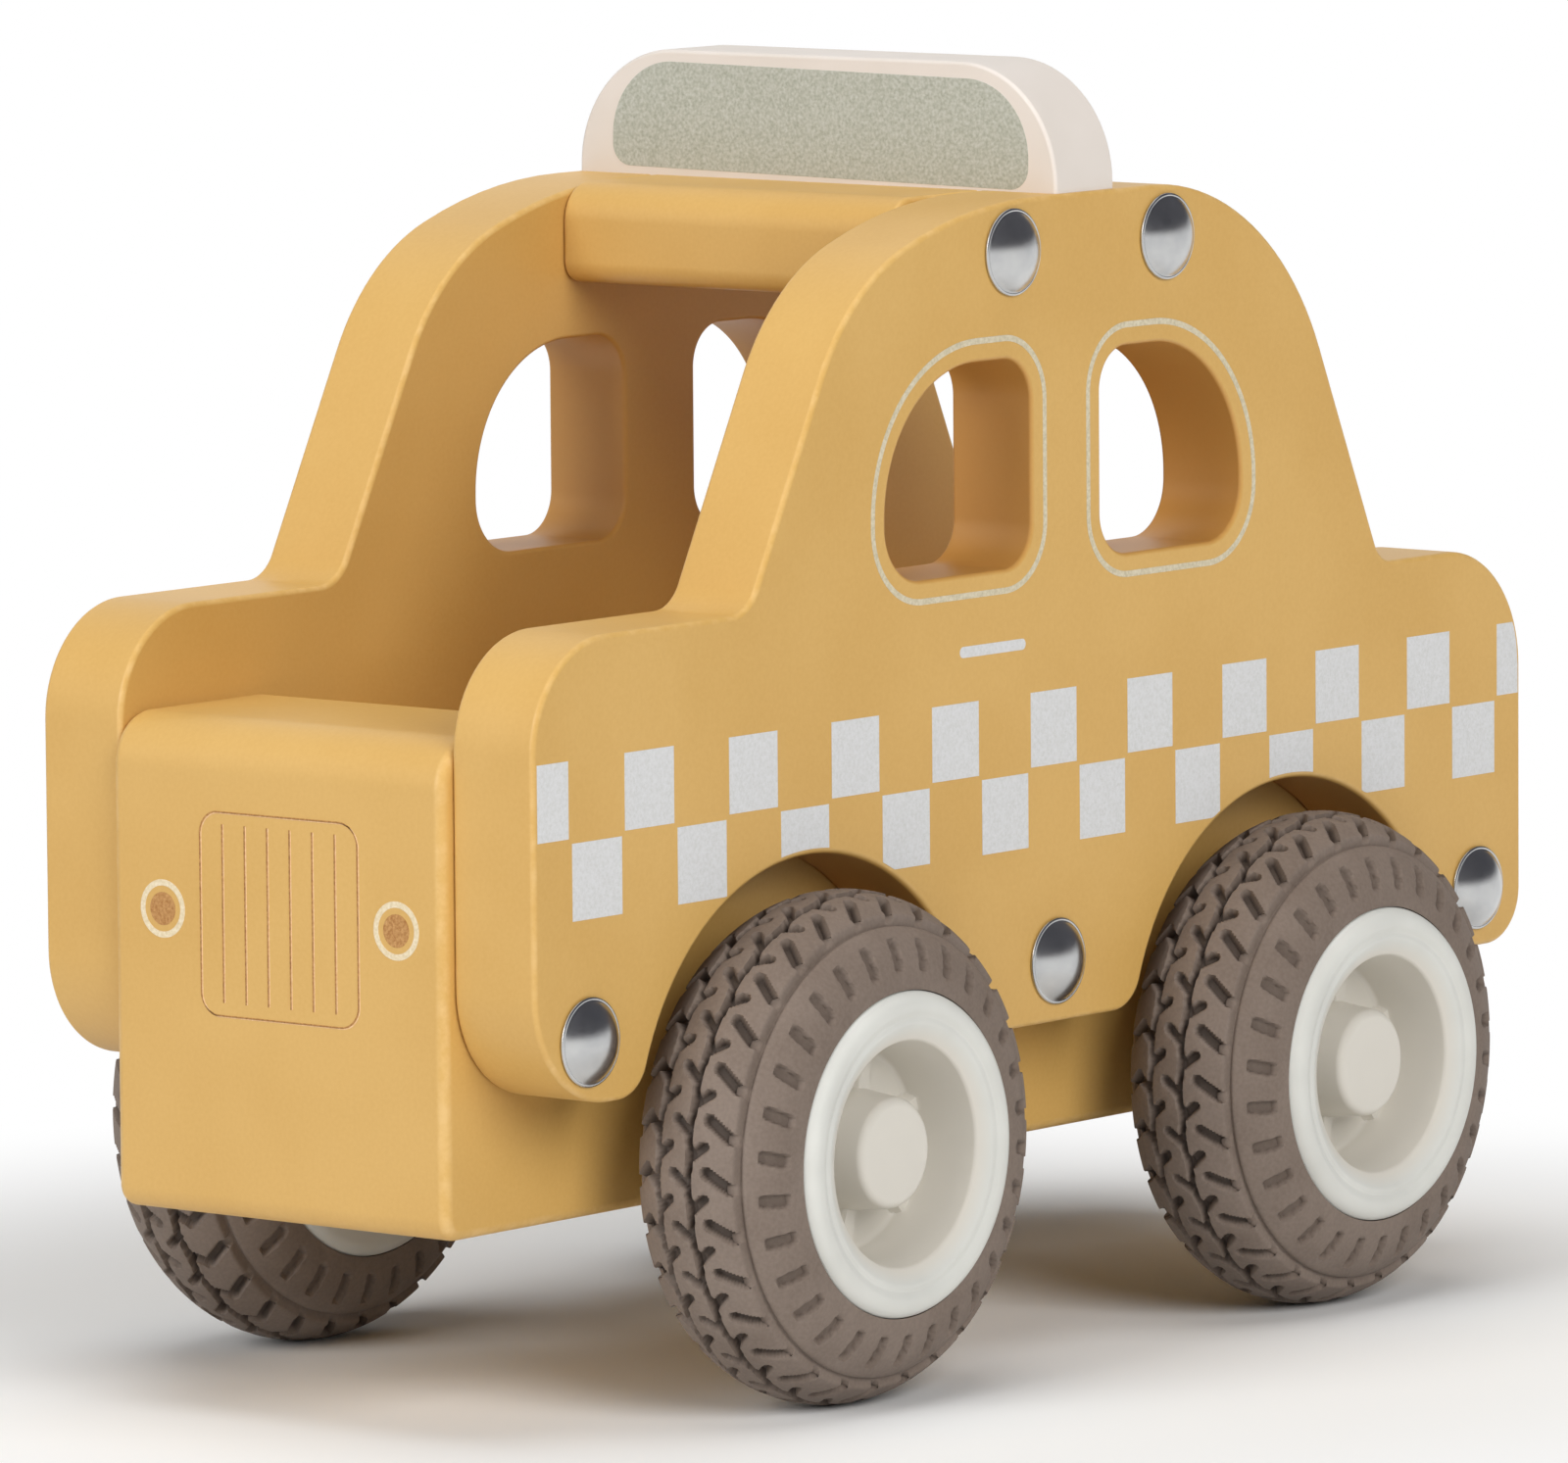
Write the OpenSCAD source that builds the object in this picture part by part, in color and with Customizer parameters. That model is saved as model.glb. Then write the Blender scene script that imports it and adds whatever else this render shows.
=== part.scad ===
// Wooden toy taxi: two sawn side panels nailed to a chassis block and a roof plank, with a roof
// sign on dowels and two steel axles that carry moulded wheels with soft tyres.
// Millimetres. +X is forward, +Y is the car's left, +Z is up, and the wheels stand on Z = 0.

/* [Side panels] */
// Length of a side panel
panel_len = 143.8; // [120:0.1:175]
// Thickness of the board that the panels and the roof plank are cut from
panel_t = 9; // [7:0.5:11]
// Height of the bonnet edge above the ground
bonnet_z = 69.6; // [67:0.1:71]
// Height of the boot edge above the ground
boot_z = 66.5; // [64:0.1:69]
// Height of the flat of the roof above the ground
roof_z = 103.2; // [100:0.1:108]
// Height of the lower edge of the panels above the ground
sill_z = 29.4; // [27:0.1:32]
// Distance of the windscreen's foot from the middle of the car, as a share of the panel's length
screen_foot_share = 0.2962; // [0.28:0.001:0.31]
// Lean of the windscreen edge from upright, in degrees
screen_lean = 27.5; // [24:0.5:30]
// Distance from the middle at which the roof starts to fall, as a share of the panel's length
roof_fall_share = 0.0779; // [0.06:0.001:0.09]
// Fall of the roof towards the windscreen, in degrees
roof_fall = 20; // [17:0.5:22]
// Distance of the rear window's foot behind the middle, as a share of the panel's length
rear_foot_share = 0.3477; // [0.33:0.001:0.37]
// Lean of the rear window edge from upright, in degrees
rear_lean = 24.4; // [22:0.2:27]
// Radius of the upper corner at the front of a panel
front_corner_r = 10; // [6:0.5:12]
// Radius of the upper corner at the rear of a panel
boot_corner_r = 11.3; // [7:0.1:12]
// Radius of the lower corner at the front, as a share of the length between it and the arch
front_low_share = 0.88; // [0.4:0.01:0.95]
// Radius of the lower corner at the rear, as a share of the length between it and the arch
rear_low_share = 0.5; // [0.2:0.01:0.9]
// Radius of the hollow between the bonnet and the windscreen edge
screen_foot_r = 4; // [2:0.5:6]
// Radius of the hollow between the boot and the rear window edge
rear_foot_r = 3; // [1:0.5:5]
// Share of the roof's falling front that the bend to the windscreen edge takes up
screen_bend_share = 0.468; // [0.3:0.001:0.468]
// Share of the roof's falling front that the long bend to the flat takes up
roof_bend_share = 0.531; // [0.3:0.001:0.531]
// Share of the flat of the roof that the bend to the rear window edge takes up
rear_bend_share = 0.4; // [0.2:0.01:0.6]

/* [Wheel arches] */
// Gap between a tyre and its wheel arch
arch_gap = 1.4; // [1:0.1:2.5]
// Height of a wheel arch's centre above the axle
arch_rise = 1.5; // [0:0.1:3]
// Radius of the corners where an arch meets the lower edge
arch_foot_r = 4; // [1:0.5:5]

/* [Windows] */
// Width of the post between the two windows, as a share of the panel's length
post_share = 0.0702; // [0.055:0.001:0.09]
// Position of the post's middle, forward of the middle, as a share of the panel's length
post_place_share = -0.0174; // [-0.025:0.001:0]
// Length of a window, as a share of the panel's length
window_share = 0.1453; // [0.13:0.001:0.152]
// Height of a window
window_h = 18.6; // [15:0.1:20]
// Height of a window's lower edge above the ground
window_z = 70.5; // [68:0.1:73]
// Radius of the two corners beside the post
window_post_r = 3.9; // [2:0.1:5]
// Radius of the wide upper corner away from the post
window_sweep_r = 13; // [8:0.1:13]
// Radius of the lower corner away from the post
window_low_r = 5; // [2:0.1:5]

/* [Chassis block] */
// Width of the chassis block and of the roof plank, between the panels
block_w = 37.5; // [34:0.1:44]
// Distance by which the block stands proud of the panels at the nose and at the tail
block_proud = 1.3; // [0.5:0.1:3]
// Depth of the block's underside below the middle of the axles
block_drop = 4.8; // [3.5:0.1:8]
// Height of the nose above the ground
nose_z = 60.9; // [57:0.1:64]
// Length of the raised nose, as a share of the panel's length
nose_share = 0.146; // [0.12:0.001:0.165]
// Height of the cabin floor above the ground
floor_z = 53; // [50:0.5:55]
// Height of the raised tail above the ground
tail_z = 58; // [56:0.5:62]
// Length of the raised tail, as a share of the panel's length
tail_share = 0.146; // [0.12:0.001:0.165]
// Radius of the upper edge of the nose and of the tail
block_top_r = 4.5; // [2:0.5:6]
// Radius of the lower edge at the nose and at the tail
block_low_r = 2; // [1:0.5:4]
// Radius of the upright edges of the block
block_edge_r = 2.5; // [1:0.5:4]
// Diameter of the driver's socket in the cabin floor
socket_d = 28.5; // [24:0.5:30]
// Depth of the driver's socket
socket_depth = 16; // [10:0.5:18]
// Position of the socket's middle, forward of the middle, as a share of the panel's length
socket_share = 0.1808; // [0.178:0.001:0.21]

/* [Roof plank and sign] */
// Length of the roof plank along the car, as a share of the panel's length
plank_share = 0.2392; // [0.21:0.001:0.25]
// Position of the plank's middle, forward of the middle, as a share of the panel's length
plank_place_share = -0.0417; // [-0.055:0.001:-0.035]
// Radius of the plank's two upper edges
plank_top_r = 3.4; // [1:0.1:4]
// Radius of the plank's two lower edges
plank_low_r = 2; // [1:0.1:4]
// Width of the roof sign across the car
sign_w = 54.6; // [48:0.1:55]
// Height of the roof sign
sign_h = 11.4; // [10:0.1:14]
// Thickness of the roof sign along the car
sign_t = 8.5; // [7:0.1:10]
// Radius of the sign's two upper corners
sign_r = 10.8; // [5:0.1:11]
// Diameter of the dowels that hold the sign
dowel_d = 5; // [3:0.5:6]
// Distance between the two dowels
dowel_gap = 20; // [14:1:26]
// Depth of a dowel in the plank
dowel_plank_depth = 5; // [3:0.5:6]
// Depth of a dowel in the sign
dowel_sign_depth = 6; // [4:0.5:8]

/* [Nails] */
// Diameter of a nail's domed head
nail_head_d = 7.8; // [6:0.1:9]
// Height of a nail's domed head
nail_head_h = 1.9; // [1:0.1:2.5]
// Diameter of a nail's shank
nail_d = 2.4; // [1.6:0.1:3]
// Length of a nail's shank
nail_len = 24; // [16:0.5:25]
// Distance of the end nails from the ends of a panel
nail_inset = 7.1; // [6:0.1:9]
// Height of the lower nails above the ground
nail_low_z = 34.9; // [34:0.1:37]
// Distance of the roof nails below the top of the roof
nail_roof_drop = 4.7; // [4.2:0.1:5]
// Distance of the roof nails from the ends of the plank
nail_plank_inset = 5.9; // [5:0.1:7]

/* [Wheels] */
// Diameter of a tyre over its tread
tyre_d = 45; // [38:0.1:53]
// Distance between the two axles, as a share of the panel's length
wheelbase_share = 0.4868; // [0.46:0.001:0.51]
// Position of the middle between the axles, forward of the middle, as a share of the panel's length
wheelbase_place_share = -0.0049; // [-0.014:0.001:0.007]
// Distance between the middles of the two wheels on an axle
track = 60.4; // [60:0.1:63]
// Diameter of an axle
axle_d = 4; // [3:0.1:5]
// Diameter of a hub's broad ring
hub_ring_d = 28.6; // [27.8:0.1:29.2]
// Diameter of the crest at which the ring turns down into the dish
ring_crest_d = 23.8; // [22.6:0.1:24.6]
// Drop of the ring from its crest to the mouth of the dish
ring_bevel = 1; // [0.5:0.1:1.5]
// Radius of the edges of the ring
ring_soft_r = 1.4; // [0.8:0.1:1.6]
// Radius of the other edges of a hub
soft_r = 0.5; // [0.2:0.1:0.7]
// Diameter of the dish at its mouth
dish_d = 19.8; // [17:0.1:21]
// Diameter of the dish at its floor
dish_floor_d = 17.6; // [16:0.1:19]
// Diameter of the central boss at its face
boss_d = 9.6; // [8:0.1:11]
// Width that the boss gains towards the dish floor
boss_flare = 1.2; // [0:0.1:2]
// Depth of the boss's face below the ring
boss_sink = 2; // [1:0.1:3]
// Thickness of the web that carries the boss
web_t = 3; // [2:0.1:4]
// Number of ribs between the boss and the dish wall
rib_count = 6; // [4:1:8]
// Thickness of a rib
rib_t = 1.6; // [1:0.1:2.4]
// Height of a rib above the dish floor
rib_h = 1.4; // [0.5:0.1:3]
// Turn of the ribs from the forward direction, in degrees
rib_turn = 40; // [0:1:60]

/* [Tyres] */
// Width of a hub over its two rings
hub_w = 17.6; // [17:0.1:18.2]
// Width of a tyre over its sidewalls
tyre_w = 15.8; // [15:0.1:16]
// Width of a tyre inside the hub's rings
bead_w = 13; // [12.6:0.1:13.4]
// Diameter of the seat that the tyre is stretched over
seat_d = 24.4; // [23:0.1:25]
// Width of the tread between its shoulders
tread_w = 10.4; // [9.8:0.1:11]
// Drop of the tread from its crown to its shoulders
tread_drop = 1.9; // [1.6:0.1:2.2]
// Height of the step from the tread down to a sidewall
shoulder_step = 0.9; // [0.6:0.1:1.1]
// Width of that step, as a share of its height
shoulder_lean_share = 0.3; // [0.1:0.05:0.5]
// Number of tread blocks round a tyre
tread_pitches = 30; // [22:1:32]
// Depth of the tread pattern
tread_depth = 1; // [0.6:0.1:1.2]
// Width of a tread slot
slot_w = 0.9; // [0.6:0.1:1.2]
// Length of a slot in a shoulder block
slot_len = 3.2; // [2:0.1:3.4]
// Place of the shoulder slots, as a share of the way from the middle of the tread to its shoulder
slot_place_share = 0.8; // [0.76:0.01:0.84]
// Slant of the tread slots, in degrees
slot_slant = 40; // [20:1:45]
// Distance between the two zigzag grooves of the tread
zigzag_gap = 3.3; // [2.8:0.1:3.6]
// Width of a zigzag groove
zigzag_w = 0.5; // [0.4:0.1:0.7]
// Slant of the zigzag's legs, in degrees
zigzag_slant = 8; // [5:1:14]
// Length of a sidewall slot, as a share of the sidewall's swell
side_slot_share = 0.45; // [0.3:0.01:0.5]
// Place of the sidewall slots, as a share of the sidewall's swell from the tread to the hub
side_slot_place_share = 0.48; // [0.42:0.01:0.54]
// Depth of a sidewall slot
side_slot_depth = 0.5; // [0.3:0.1:0.7]

/* [Clearances] */
// Radial clearance of an axle in its bore
axle_clear = 0.08; // [0.03:0.01:0.1]
// Clearance round glued, driven and stretched joints
joint_clear = 0.03; // [0.02:0.01:0.05]
// Gap between a hub's inner boss and the chassis block
hub_gap = 0.6; // [0.3:0.1:1]

/* [Hidden] */
$fn = 96;

// Overrun of every cut past the face that it opens
over = 1;
// Largest turn of one straight step on a rounded corner, in degrees
arc_step = 6;
// Steps of the tread's arc on each side of its crown
tread_steps = 4;
// Paint and material colours
taxi_yellow = "#dcae62";
sign_cream = "#e9dcd2";
steel_grey = "#c4c9cc";
hub_white = "#dddcd4";
tyre_taupe = "#6f635b";
dowel_wood = "#d8b98c";

panel_in_y = block_w / 2;
panel_out_y = panel_in_y + panel_t;
block_x = panel_len / 2 + block_proud;
axle_z = tyre_d / 2;
wheelbase = panel_len * wheelbase_share;
wheelbase_x = panel_len * wheelbase_place_share;
front_axle_x = wheelbase_x + wheelbase / 2;
rear_axle_x = wheelbase_x - wheelbase / 2;
block_z = axle_z - block_drop;
nose_len = panel_len * nose_share;
tail_len = panel_len * tail_share;
socket_x = panel_len * socket_share;
plank_len = panel_len * plank_share;
plank_x = panel_len * plank_place_share;
plank_z = roof_z - panel_t;
nail_body_xs = [panel_len / 2 - nail_inset, wheelbase_x, nail_inset - panel_len / 2];
nail_roof_xs = [for (s = [1, -1]) plank_x + s * (plank_len / 2 - nail_plank_inset)];
nail_roof_z = roof_z - nail_roof_drop;

// The direction of v, as a step of length 1
function unit(v) = v / norm(v);
// The points of an arc about c from angle a0 through the turn
function arc(c, r, a0, turn) =
    let (n = max(2, ceil(abs(turn) / arc_step)))
    [for (i = [0:n]) c + r * [cos(a0 + turn * i / n), sin(a0 + turn * i / n)]];
// The turn from angle a0 to angle a1 by the shorter way
function short_turn(a0, a1) = let (d = (a1 - a0) % 360) d > 180 ? d - 360 : d < -180 ? d + 360 : d;
// The corner p between its neighbours a and b, rounded to the radius r
function corner(a, p, b, r) =
    let (u = unit(a - p), v = unit(b - p), half = acos(u * v) / 2,
         c = p + unit(u + v) * r / sin(half),
         s = p + u * r / tan(half) - c, e = p + v * r / tan(half) - c,
         a0 = atan2(s.y, s.x))
    arc(c, r, a0, short_turn(a0, atan2(e.y, e.x)));
// A closed outline of corners, each [x, y, radius], rounded where the radius is above zero
function rounded(path) =
    let (n = len(path), at = [for (p = path) [p.x, p.y]])
    [for (i = [0:n - 1])
        each path[i][2] == 0 ? [at[i]] : corner(at[(i + n - 1) % n], at[i], at[(i + 1) % n], path[i][2])];

screen_foot_x = panel_len * screen_foot_share;
roof_fall_x = panel_len * roof_fall_share;
rear_foot_x = panel_len * rear_foot_share;
// Where the windscreen edge meets the falling front of the roof
screen_slope = tan(screen_lean);
fall_slope = tan(roof_fall);
screen_roof_x = screen_foot_x - (roof_z - bonnet_z) * screen_slope;
screen_top_x = (screen_roof_x - roof_fall_x * fall_slope * screen_slope) / (1 - fall_slope * screen_slope);
screen_top = [screen_top_x, roof_z - (screen_top_x - roof_fall_x) * fall_slope];
// Where the rear window edge meets the line of the roof
rear_top_x = -rear_foot_x + (roof_z - boot_z) * tan(rear_lean);
// Radii of the bends of the roof, from the lengths that they take up
fall_len = (screen_top_x - roof_fall_x) / cos(roof_fall);
screen_bend_r = fall_len * screen_bend_share / tan((90 - screen_lean - roof_fall) / 2);
roof_bend_r = fall_len * roof_bend_share / tan(roof_fall / 2);
rear_bend_r = (roof_fall_x - rear_top_x) * rear_bend_share / tan((90 - rear_lean) / 2);

// The wheel arches and the lengths of the lower edge in front of them and behind them
arch_r = tyre_d / 2 + arch_gap;
arch_z = axle_z + arch_rise;
foot_rise = sill_z + arch_foot_r - arch_z;
foot_x = sqrt(pow(arch_r + arch_foot_r, 2) - pow(foot_rise, 2));
front_sill = panel_len / 2 - front_axle_x - foot_x;
rear_sill = panel_len / 2 + rear_axle_x - foot_x;

// The corners of a panel above its lower edge, from the lower front corner round to the rear
upper_corners = [
    [panel_len / 2, sill_z, front_sill * front_low_share],
    [panel_len / 2, bonnet_z, front_corner_r],
    [screen_foot_x, bonnet_z, screen_foot_r],
    [screen_top.x, screen_top.y, screen_bend_r],
    [roof_fall_x, roof_z, roof_bend_r],
    [rear_top_x, roof_z, rear_bend_r],
    [-rear_foot_x, boot_z, rear_foot_r],
    [-panel_len / 2, boot_z, boot_corner_r],
    [-panel_len / 2, sill_z, rear_sill * rear_low_share]];
// A wheel arch about x, from the rear foot to the front foot, with rounded feet
function arch(x) =
    let (a = atan2(foot_rise, foot_x), foot_z = sill_z + arch_foot_r)
    concat(arc([x - foot_x, foot_z], arch_foot_r, -90, 90 - a),
           arc([x, arch_z], arch_r, 180 - a, 2 * a - 180),
           arc([x + foot_x, foot_z], arch_foot_r, 180 + a, 90 - a));
panel_outline = concat(rounded(upper_corners), arch(rear_axle_x), arch(front_axle_x));

window_post = panel_len * post_share;
window_post_x = panel_len * post_place_share;
window_len = panel_len * window_share;
// A window that lies on the side s of the post, 1 in front and -1 behind
function window(s) =
    let (post = window_post_x + s * window_post / 2, far = post + s * window_len, top = window_z + window_h)
    rounded([[post, window_z, window_post_r], [far, window_z, window_low_r],
             [far, top, window_sweep_r], [post, top, window_post_r]]);

// An upright outline in X and Z, swept along Y from y0 to y1
module along_y(y0, y1) {
    translate([0, y1, 0])
        rotate([90, 0, 0])
            linear_extrude(y1 - y0)
                children();
}

// A round bar along Y from y0 to y1
module bar(x, z, d, y0, y1) {
    translate([x, y1, z])
        rotate([90, 0, 0])
            cylinder(d = d, h = y1 - y0);
}

// A side panel on the left of the car
module side_panel() {
    along_y(panel_in_y, panel_out_y)
        difference() {
            polygon(panel_outline);
            polygon(window(1));
            polygon(window(-1));
            for (x = nail_body_xs)
                translate([x, nail_low_z])
                    circle(d = nail_d + 2 * joint_clear);
            for (x = nail_roof_xs)
                translate([x, nail_roof_z])
                    circle(d = nail_d + 2 * joint_clear);
        }
}

module left_side_panel() {
    color(taxi_yellow) side_panel();
}

module right_side_panel() {
    color(taxi_yellow) mirror([0, 1, 0]) side_panel();
}

// The holes that the nails fill on both sides of a piece that lies between the panels
module nail_holes(xs, z) {
    reach = nail_len - panel_t + joint_clear;
    for (x = xs) {
        bar(x, z, nail_d + 2 * joint_clear, panel_in_y - reach, panel_in_y + over);
        bar(x, z, nail_d + 2 * joint_clear, -panel_in_y - over, reach - panel_in_y);
    }
}

module chassis_block() {
    color(taxi_yellow)
        difference() {
            intersection() {
                along_y(-panel_in_y, panel_in_y)
                    polygon(rounded([
                        [block_x, block_z, block_low_r],
                        [block_x, nose_z, block_top_r],
                        [block_x - nose_len, nose_z, block_edge_r],
                        [block_x - nose_len, floor_z, block_edge_r],
                        [tail_len - block_x, floor_z, block_edge_r],
                        [tail_len - block_x, tail_z, block_edge_r],
                        [-block_x, tail_z, block_top_r],
                        [-block_x, block_z, block_low_r]]));
                translate([0, 0, block_z - over])
                    linear_extrude(nose_z - block_z + 2 * over)
                        polygon(rounded([for (s = [[1, 1], [-1, 1], [-1, -1], [1, -1]])
                            [s.x * block_x, s.y * panel_in_y, block_edge_r]]));
            }
            translate([socket_x, 0, floor_z - socket_depth])
                cylinder(d = socket_d, h = socket_depth + over);
            for (x = [front_axle_x, rear_axle_x])
                bar(x, axle_z, axle_d + 2 * axle_clear, -panel_in_y - over, panel_in_y + over);
            nail_holes(nail_body_xs, nail_low_z);
        }
}

// The two dowel places, on both sides of the middle of the car
module at_dowels(z) {
    for (s = [1, -1])
        translate([plank_x, s * dowel_gap / 2, z])
            children();
}

module roof_plank() {
    color(taxi_yellow)
        difference() {
            along_y(-panel_in_y, panel_in_y)
                polygon(rounded([
                    [plank_x + plank_len / 2, plank_z, plank_low_r],
                    [plank_x + plank_len / 2, roof_z, plank_top_r],
                    [plank_x - plank_len / 2, roof_z, plank_top_r],
                    [plank_x - plank_len / 2, plank_z, plank_low_r]]));
            at_dowels(roof_z - dowel_plank_depth - joint_clear)
                cylinder(d = dowel_d + 2 * joint_clear, h = dowel_plank_depth + over);
            nail_holes(nail_roof_xs, nail_roof_z);
        }
}

module roof_sign() {
    color(sign_cream)
        difference() {
            translate([plank_x - sign_t / 2, 0, roof_z])
                rotate([90, 0, 90])
                    linear_extrude(sign_t)
                        polygon(concat(
                            [[-sign_w / 2, 0], [sign_w / 2, 0]],
                            arc([sign_w / 2 - sign_r, sign_h - sign_r], sign_r, 0, 90),
                            arc([sign_r - sign_w / 2, sign_h - sign_r], sign_r, 90, 90)));
            at_dowels(roof_z - over)
                cylinder(d = dowel_d + 2 * joint_clear, h = dowel_sign_depth + joint_clear + over);
        }
}

module sign_dowels() {
    color(dowel_wood)
        at_dowels(roof_z - dowel_plank_depth)
            cylinder(d = dowel_d, h = dowel_plank_depth + dowel_sign_depth);
}

// A nail with its head on the outside of the left panel
module nail(x, z) {
    dome_r = (nail_head_d * nail_head_d / 4 + nail_head_h * nail_head_h) / (2 * nail_head_h);
    translate([x, panel_out_y, z])
        rotate([-90, 0, 0]) {
            rotate_extrude()
                intersection() {
                    translate([0, nail_head_h - dome_r])
                        circle(r = dome_r);
                    square([nail_head_d, nail_head_h]);
                }
            translate([0, 0, -nail_len])
                cylinder(d = nail_d, h = nail_len + nail_head_h / 2);
        }
}

module body_nails() {
    for (x = nail_body_xs)
        nail(x, nail_low_z);
}

module roof_nails() {
    for (x = nail_roof_xs)
        nail(x, nail_roof_z);
}

module left_body_nails() {
    color(steel_grey) body_nails();
}

module right_body_nails() {
    color(steel_grey) mirror([0, 1, 0]) body_nails();
}

module left_roof_nails() {
    color(steel_grey) roof_nails();
}

module right_roof_nails() {
    color(steel_grey) mirror([0, 1, 0]) roof_nails();
}

// Puts a wheel piece, drawn about Z with its outer side up, on the end of an axle: side 1 is the left
module on_axle(x, side) {
    translate([x, side * track / 2, axle_z])
        rotate([-90, 0, 90 - 90 * side])
            children();
}

ring_r = hub_ring_d / 2;
rim_y = hub_w / 2;
flange_t = (hub_w - bead_w) / 2 - joint_clear;
web_y = web_t / 2;
boss_r = boss_d / 2;
boss_y = rim_y - boss_sink;
hub_boss_y = track / 2 - panel_in_y - hub_gap;
axle_end_y = boss_y - web_t;

// Half of a hub's section, from the outer face of the boss round to its inner face
hub_section = rounded([
    [0, boss_y, 0], [boss_r, boss_y, soft_r], [boss_r + boss_flare / 2, web_y, soft_r],
    [dish_floor_d / 2, web_y, soft_r], [dish_d / 2, rim_y - ring_bevel, soft_r],
    [ring_crest_d / 2, rim_y, ring_soft_r], [ring_r, rim_y, ring_soft_r],
    [ring_r, rim_y - flange_t, 0], [seat_d / 2, rim_y - flange_t, 0],
    [seat_d / 2, flange_t - rim_y, 0], [ring_r, flange_t - rim_y, 0],
    [ring_r, -rim_y, ring_soft_r], [dish_floor_d / 2, -rim_y, soft_r],
    [dish_floor_d / 2, -web_y, soft_r], [boss_r, -web_y, soft_r],
    [boss_r, -hub_boss_y, soft_r], [0, -hub_boss_y, 0]]);

module hub() {
    color(hub_white)
        difference() {
            union() {
                rotate_extrude()
                    polygon(hub_section);
                for (i = [0:rib_count - 1])
                    rotate(i * 360 / rib_count - rib_turn)
                        translate([0, -rib_t / 2, 0])
                            cube([dish_floor_d / 2 + soft_r, rib_t, web_y + rib_h]);
            }
            translate([0, 0, -hub_boss_y - over])
                cylinder(d = axle_d + 2 * joint_clear, h = hub_boss_y + over + axle_end_y + joint_clear);
        }
}

tread_arc_r = (tread_w * tread_w / 4 + tread_drop * tread_drop) / (2 * tread_drop);
tread_turn = asin(tread_w / 2 / tread_arc_r);
tread_c = [tyre_d / 2 - tread_arc_r, 0];
shoulder_r = tyre_d / 2 - tread_drop;
pitch_turn = 360 / tread_pitches;
// The foot of the step between the tread and a sidewall
step_foot = [shoulder_r - shoulder_step, tread_w / 2 + shoulder_step * shoulder_lean_share];
// A sidewall's swell, which runs from the step to the hub and is upright where it meets the hub
swell = step_foot - [ring_r + joint_clear, tyre_w / 2];
sidewall_r = swell * swell / (-2 * swell.y);
sidewall_c = [ring_r + joint_clear, tyre_w / 2 - sidewall_r];
sidewall_a0 = atan2(step_foot.y - sidewall_c.y, step_foot.x - sidewall_c.x);
sidewall_turn = 90 - sidewall_a0;
side_slot_len = sidewall_r * sidewall_turn * side_slot_share * PI / 180;
side_slot_a = sidewall_a0 + sidewall_turn * side_slot_place_share;

// Half of a tyre's section, from the crown of the tread down the side s to the hub
function tyre_side(s) = [
    for (p = concat(
        arc(tread_c, tread_arc_r, tread_turn / tread_steps, tread_turn - tread_turn / tread_steps),
        arc(sidewall_c, sidewall_r, sidewall_a0, sidewall_turn),
        [[ring_r + joint_clear, bead_w / 2], [seat_d / 2 + joint_clear, bead_w / 2]])) [p.x, s * p.y]];
// A list of points in the opposite order
function flip(list) = [for (i = [len(list) - 1:-1:0]) list[i]];

// A tread cut of the given length, at the distance y from the middle of the tread
module tread_cut(y, length, width, slant) {
    lean = asin(y / tread_arc_r);
    translate([tread_c.x, 0, 0])
        rotate([0, -lean, 0])
            translate([tread_arc_r, 0, 0])
                rotate([slant, 0, 0])
                    cube([2 * tread_depth, width, length], center = true);
}

// The cuts of one tread pitch on the side s of a tyre
module pitch_cuts(s) {
    shoulder_y = tread_w / 2 * slot_place_share;
    leg_len = PI * tyre_d / 2 / tread_pitches / cos(zigzag_slant) + zigzag_w;
    tread_cut(s * shoulder_y, slot_len, slot_w, -s * slot_slant);
    for (k = [-1, 1])
        rotate(k * pitch_turn / 4)
            tread_cut(s * zigzag_gap / 2, zigzag_w, leg_len, k * zigzag_slant);
    rotate(pitch_turn / 2)
        translate([sidewall_c.x, 0, s * sidewall_c.y])
            rotate([0, s * -side_slot_a, 0])
                translate([sidewall_r, 0, 0])
                    cube([2 * side_slot_depth, slot_w, side_slot_len], center = true);
}

module tyre() {
    color(tyre_taupe)
        difference() {
            rotate_extrude()
                polygon(concat([[tyre_d / 2, 0]], tyre_side(1), flip(tyre_side(-1))));
            for (i = [0:tread_pitches - 1])
                rotate(i * pitch_turn)
                    for (s = [1, -1])
                        pitch_cuts(s);
        }
}

module axle(x) {
    color(steel_grey)
        bar(x, axle_z, axle_d, -track / 2 - axle_end_y, track / 2 + axle_end_y);
}

module front_axle() axle(front_axle_x);
module rear_axle() axle(rear_axle_x);
module front_left_hub() on_axle(front_axle_x, 1) hub();
module front_right_hub() on_axle(front_axle_x, -1) hub();
module rear_left_hub() on_axle(rear_axle_x, 1) hub();
module rear_right_hub() on_axle(rear_axle_x, -1) hub();
module front_left_tyre() on_axle(front_axle_x, 1) tyre();
module front_right_tyre() on_axle(front_axle_x, -1) tyre();
module rear_left_tyre() on_axle(rear_axle_x, 1) tyre();
module rear_right_tyre() on_axle(rear_axle_x, -1) tyre();

chassis_block();
left_side_panel();
right_side_panel();
roof_plank();
roof_sign();
sign_dowels();
left_body_nails();
right_body_nails();
left_roof_nails();
right_roof_nails();
front_axle();
rear_axle();
front_left_hub();
front_right_hub();
rear_left_hub();
rear_right_hub();
front_left_tyre();
front_right_tyre();
rear_left_tyre();
rear_right_tyre();
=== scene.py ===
import math
from collections import namedtuple

import bmesh
import bpy
import numpy as np
from mathutils import Matrix, Vector
from mathutils.geometry import tessellate_polygon


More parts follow.
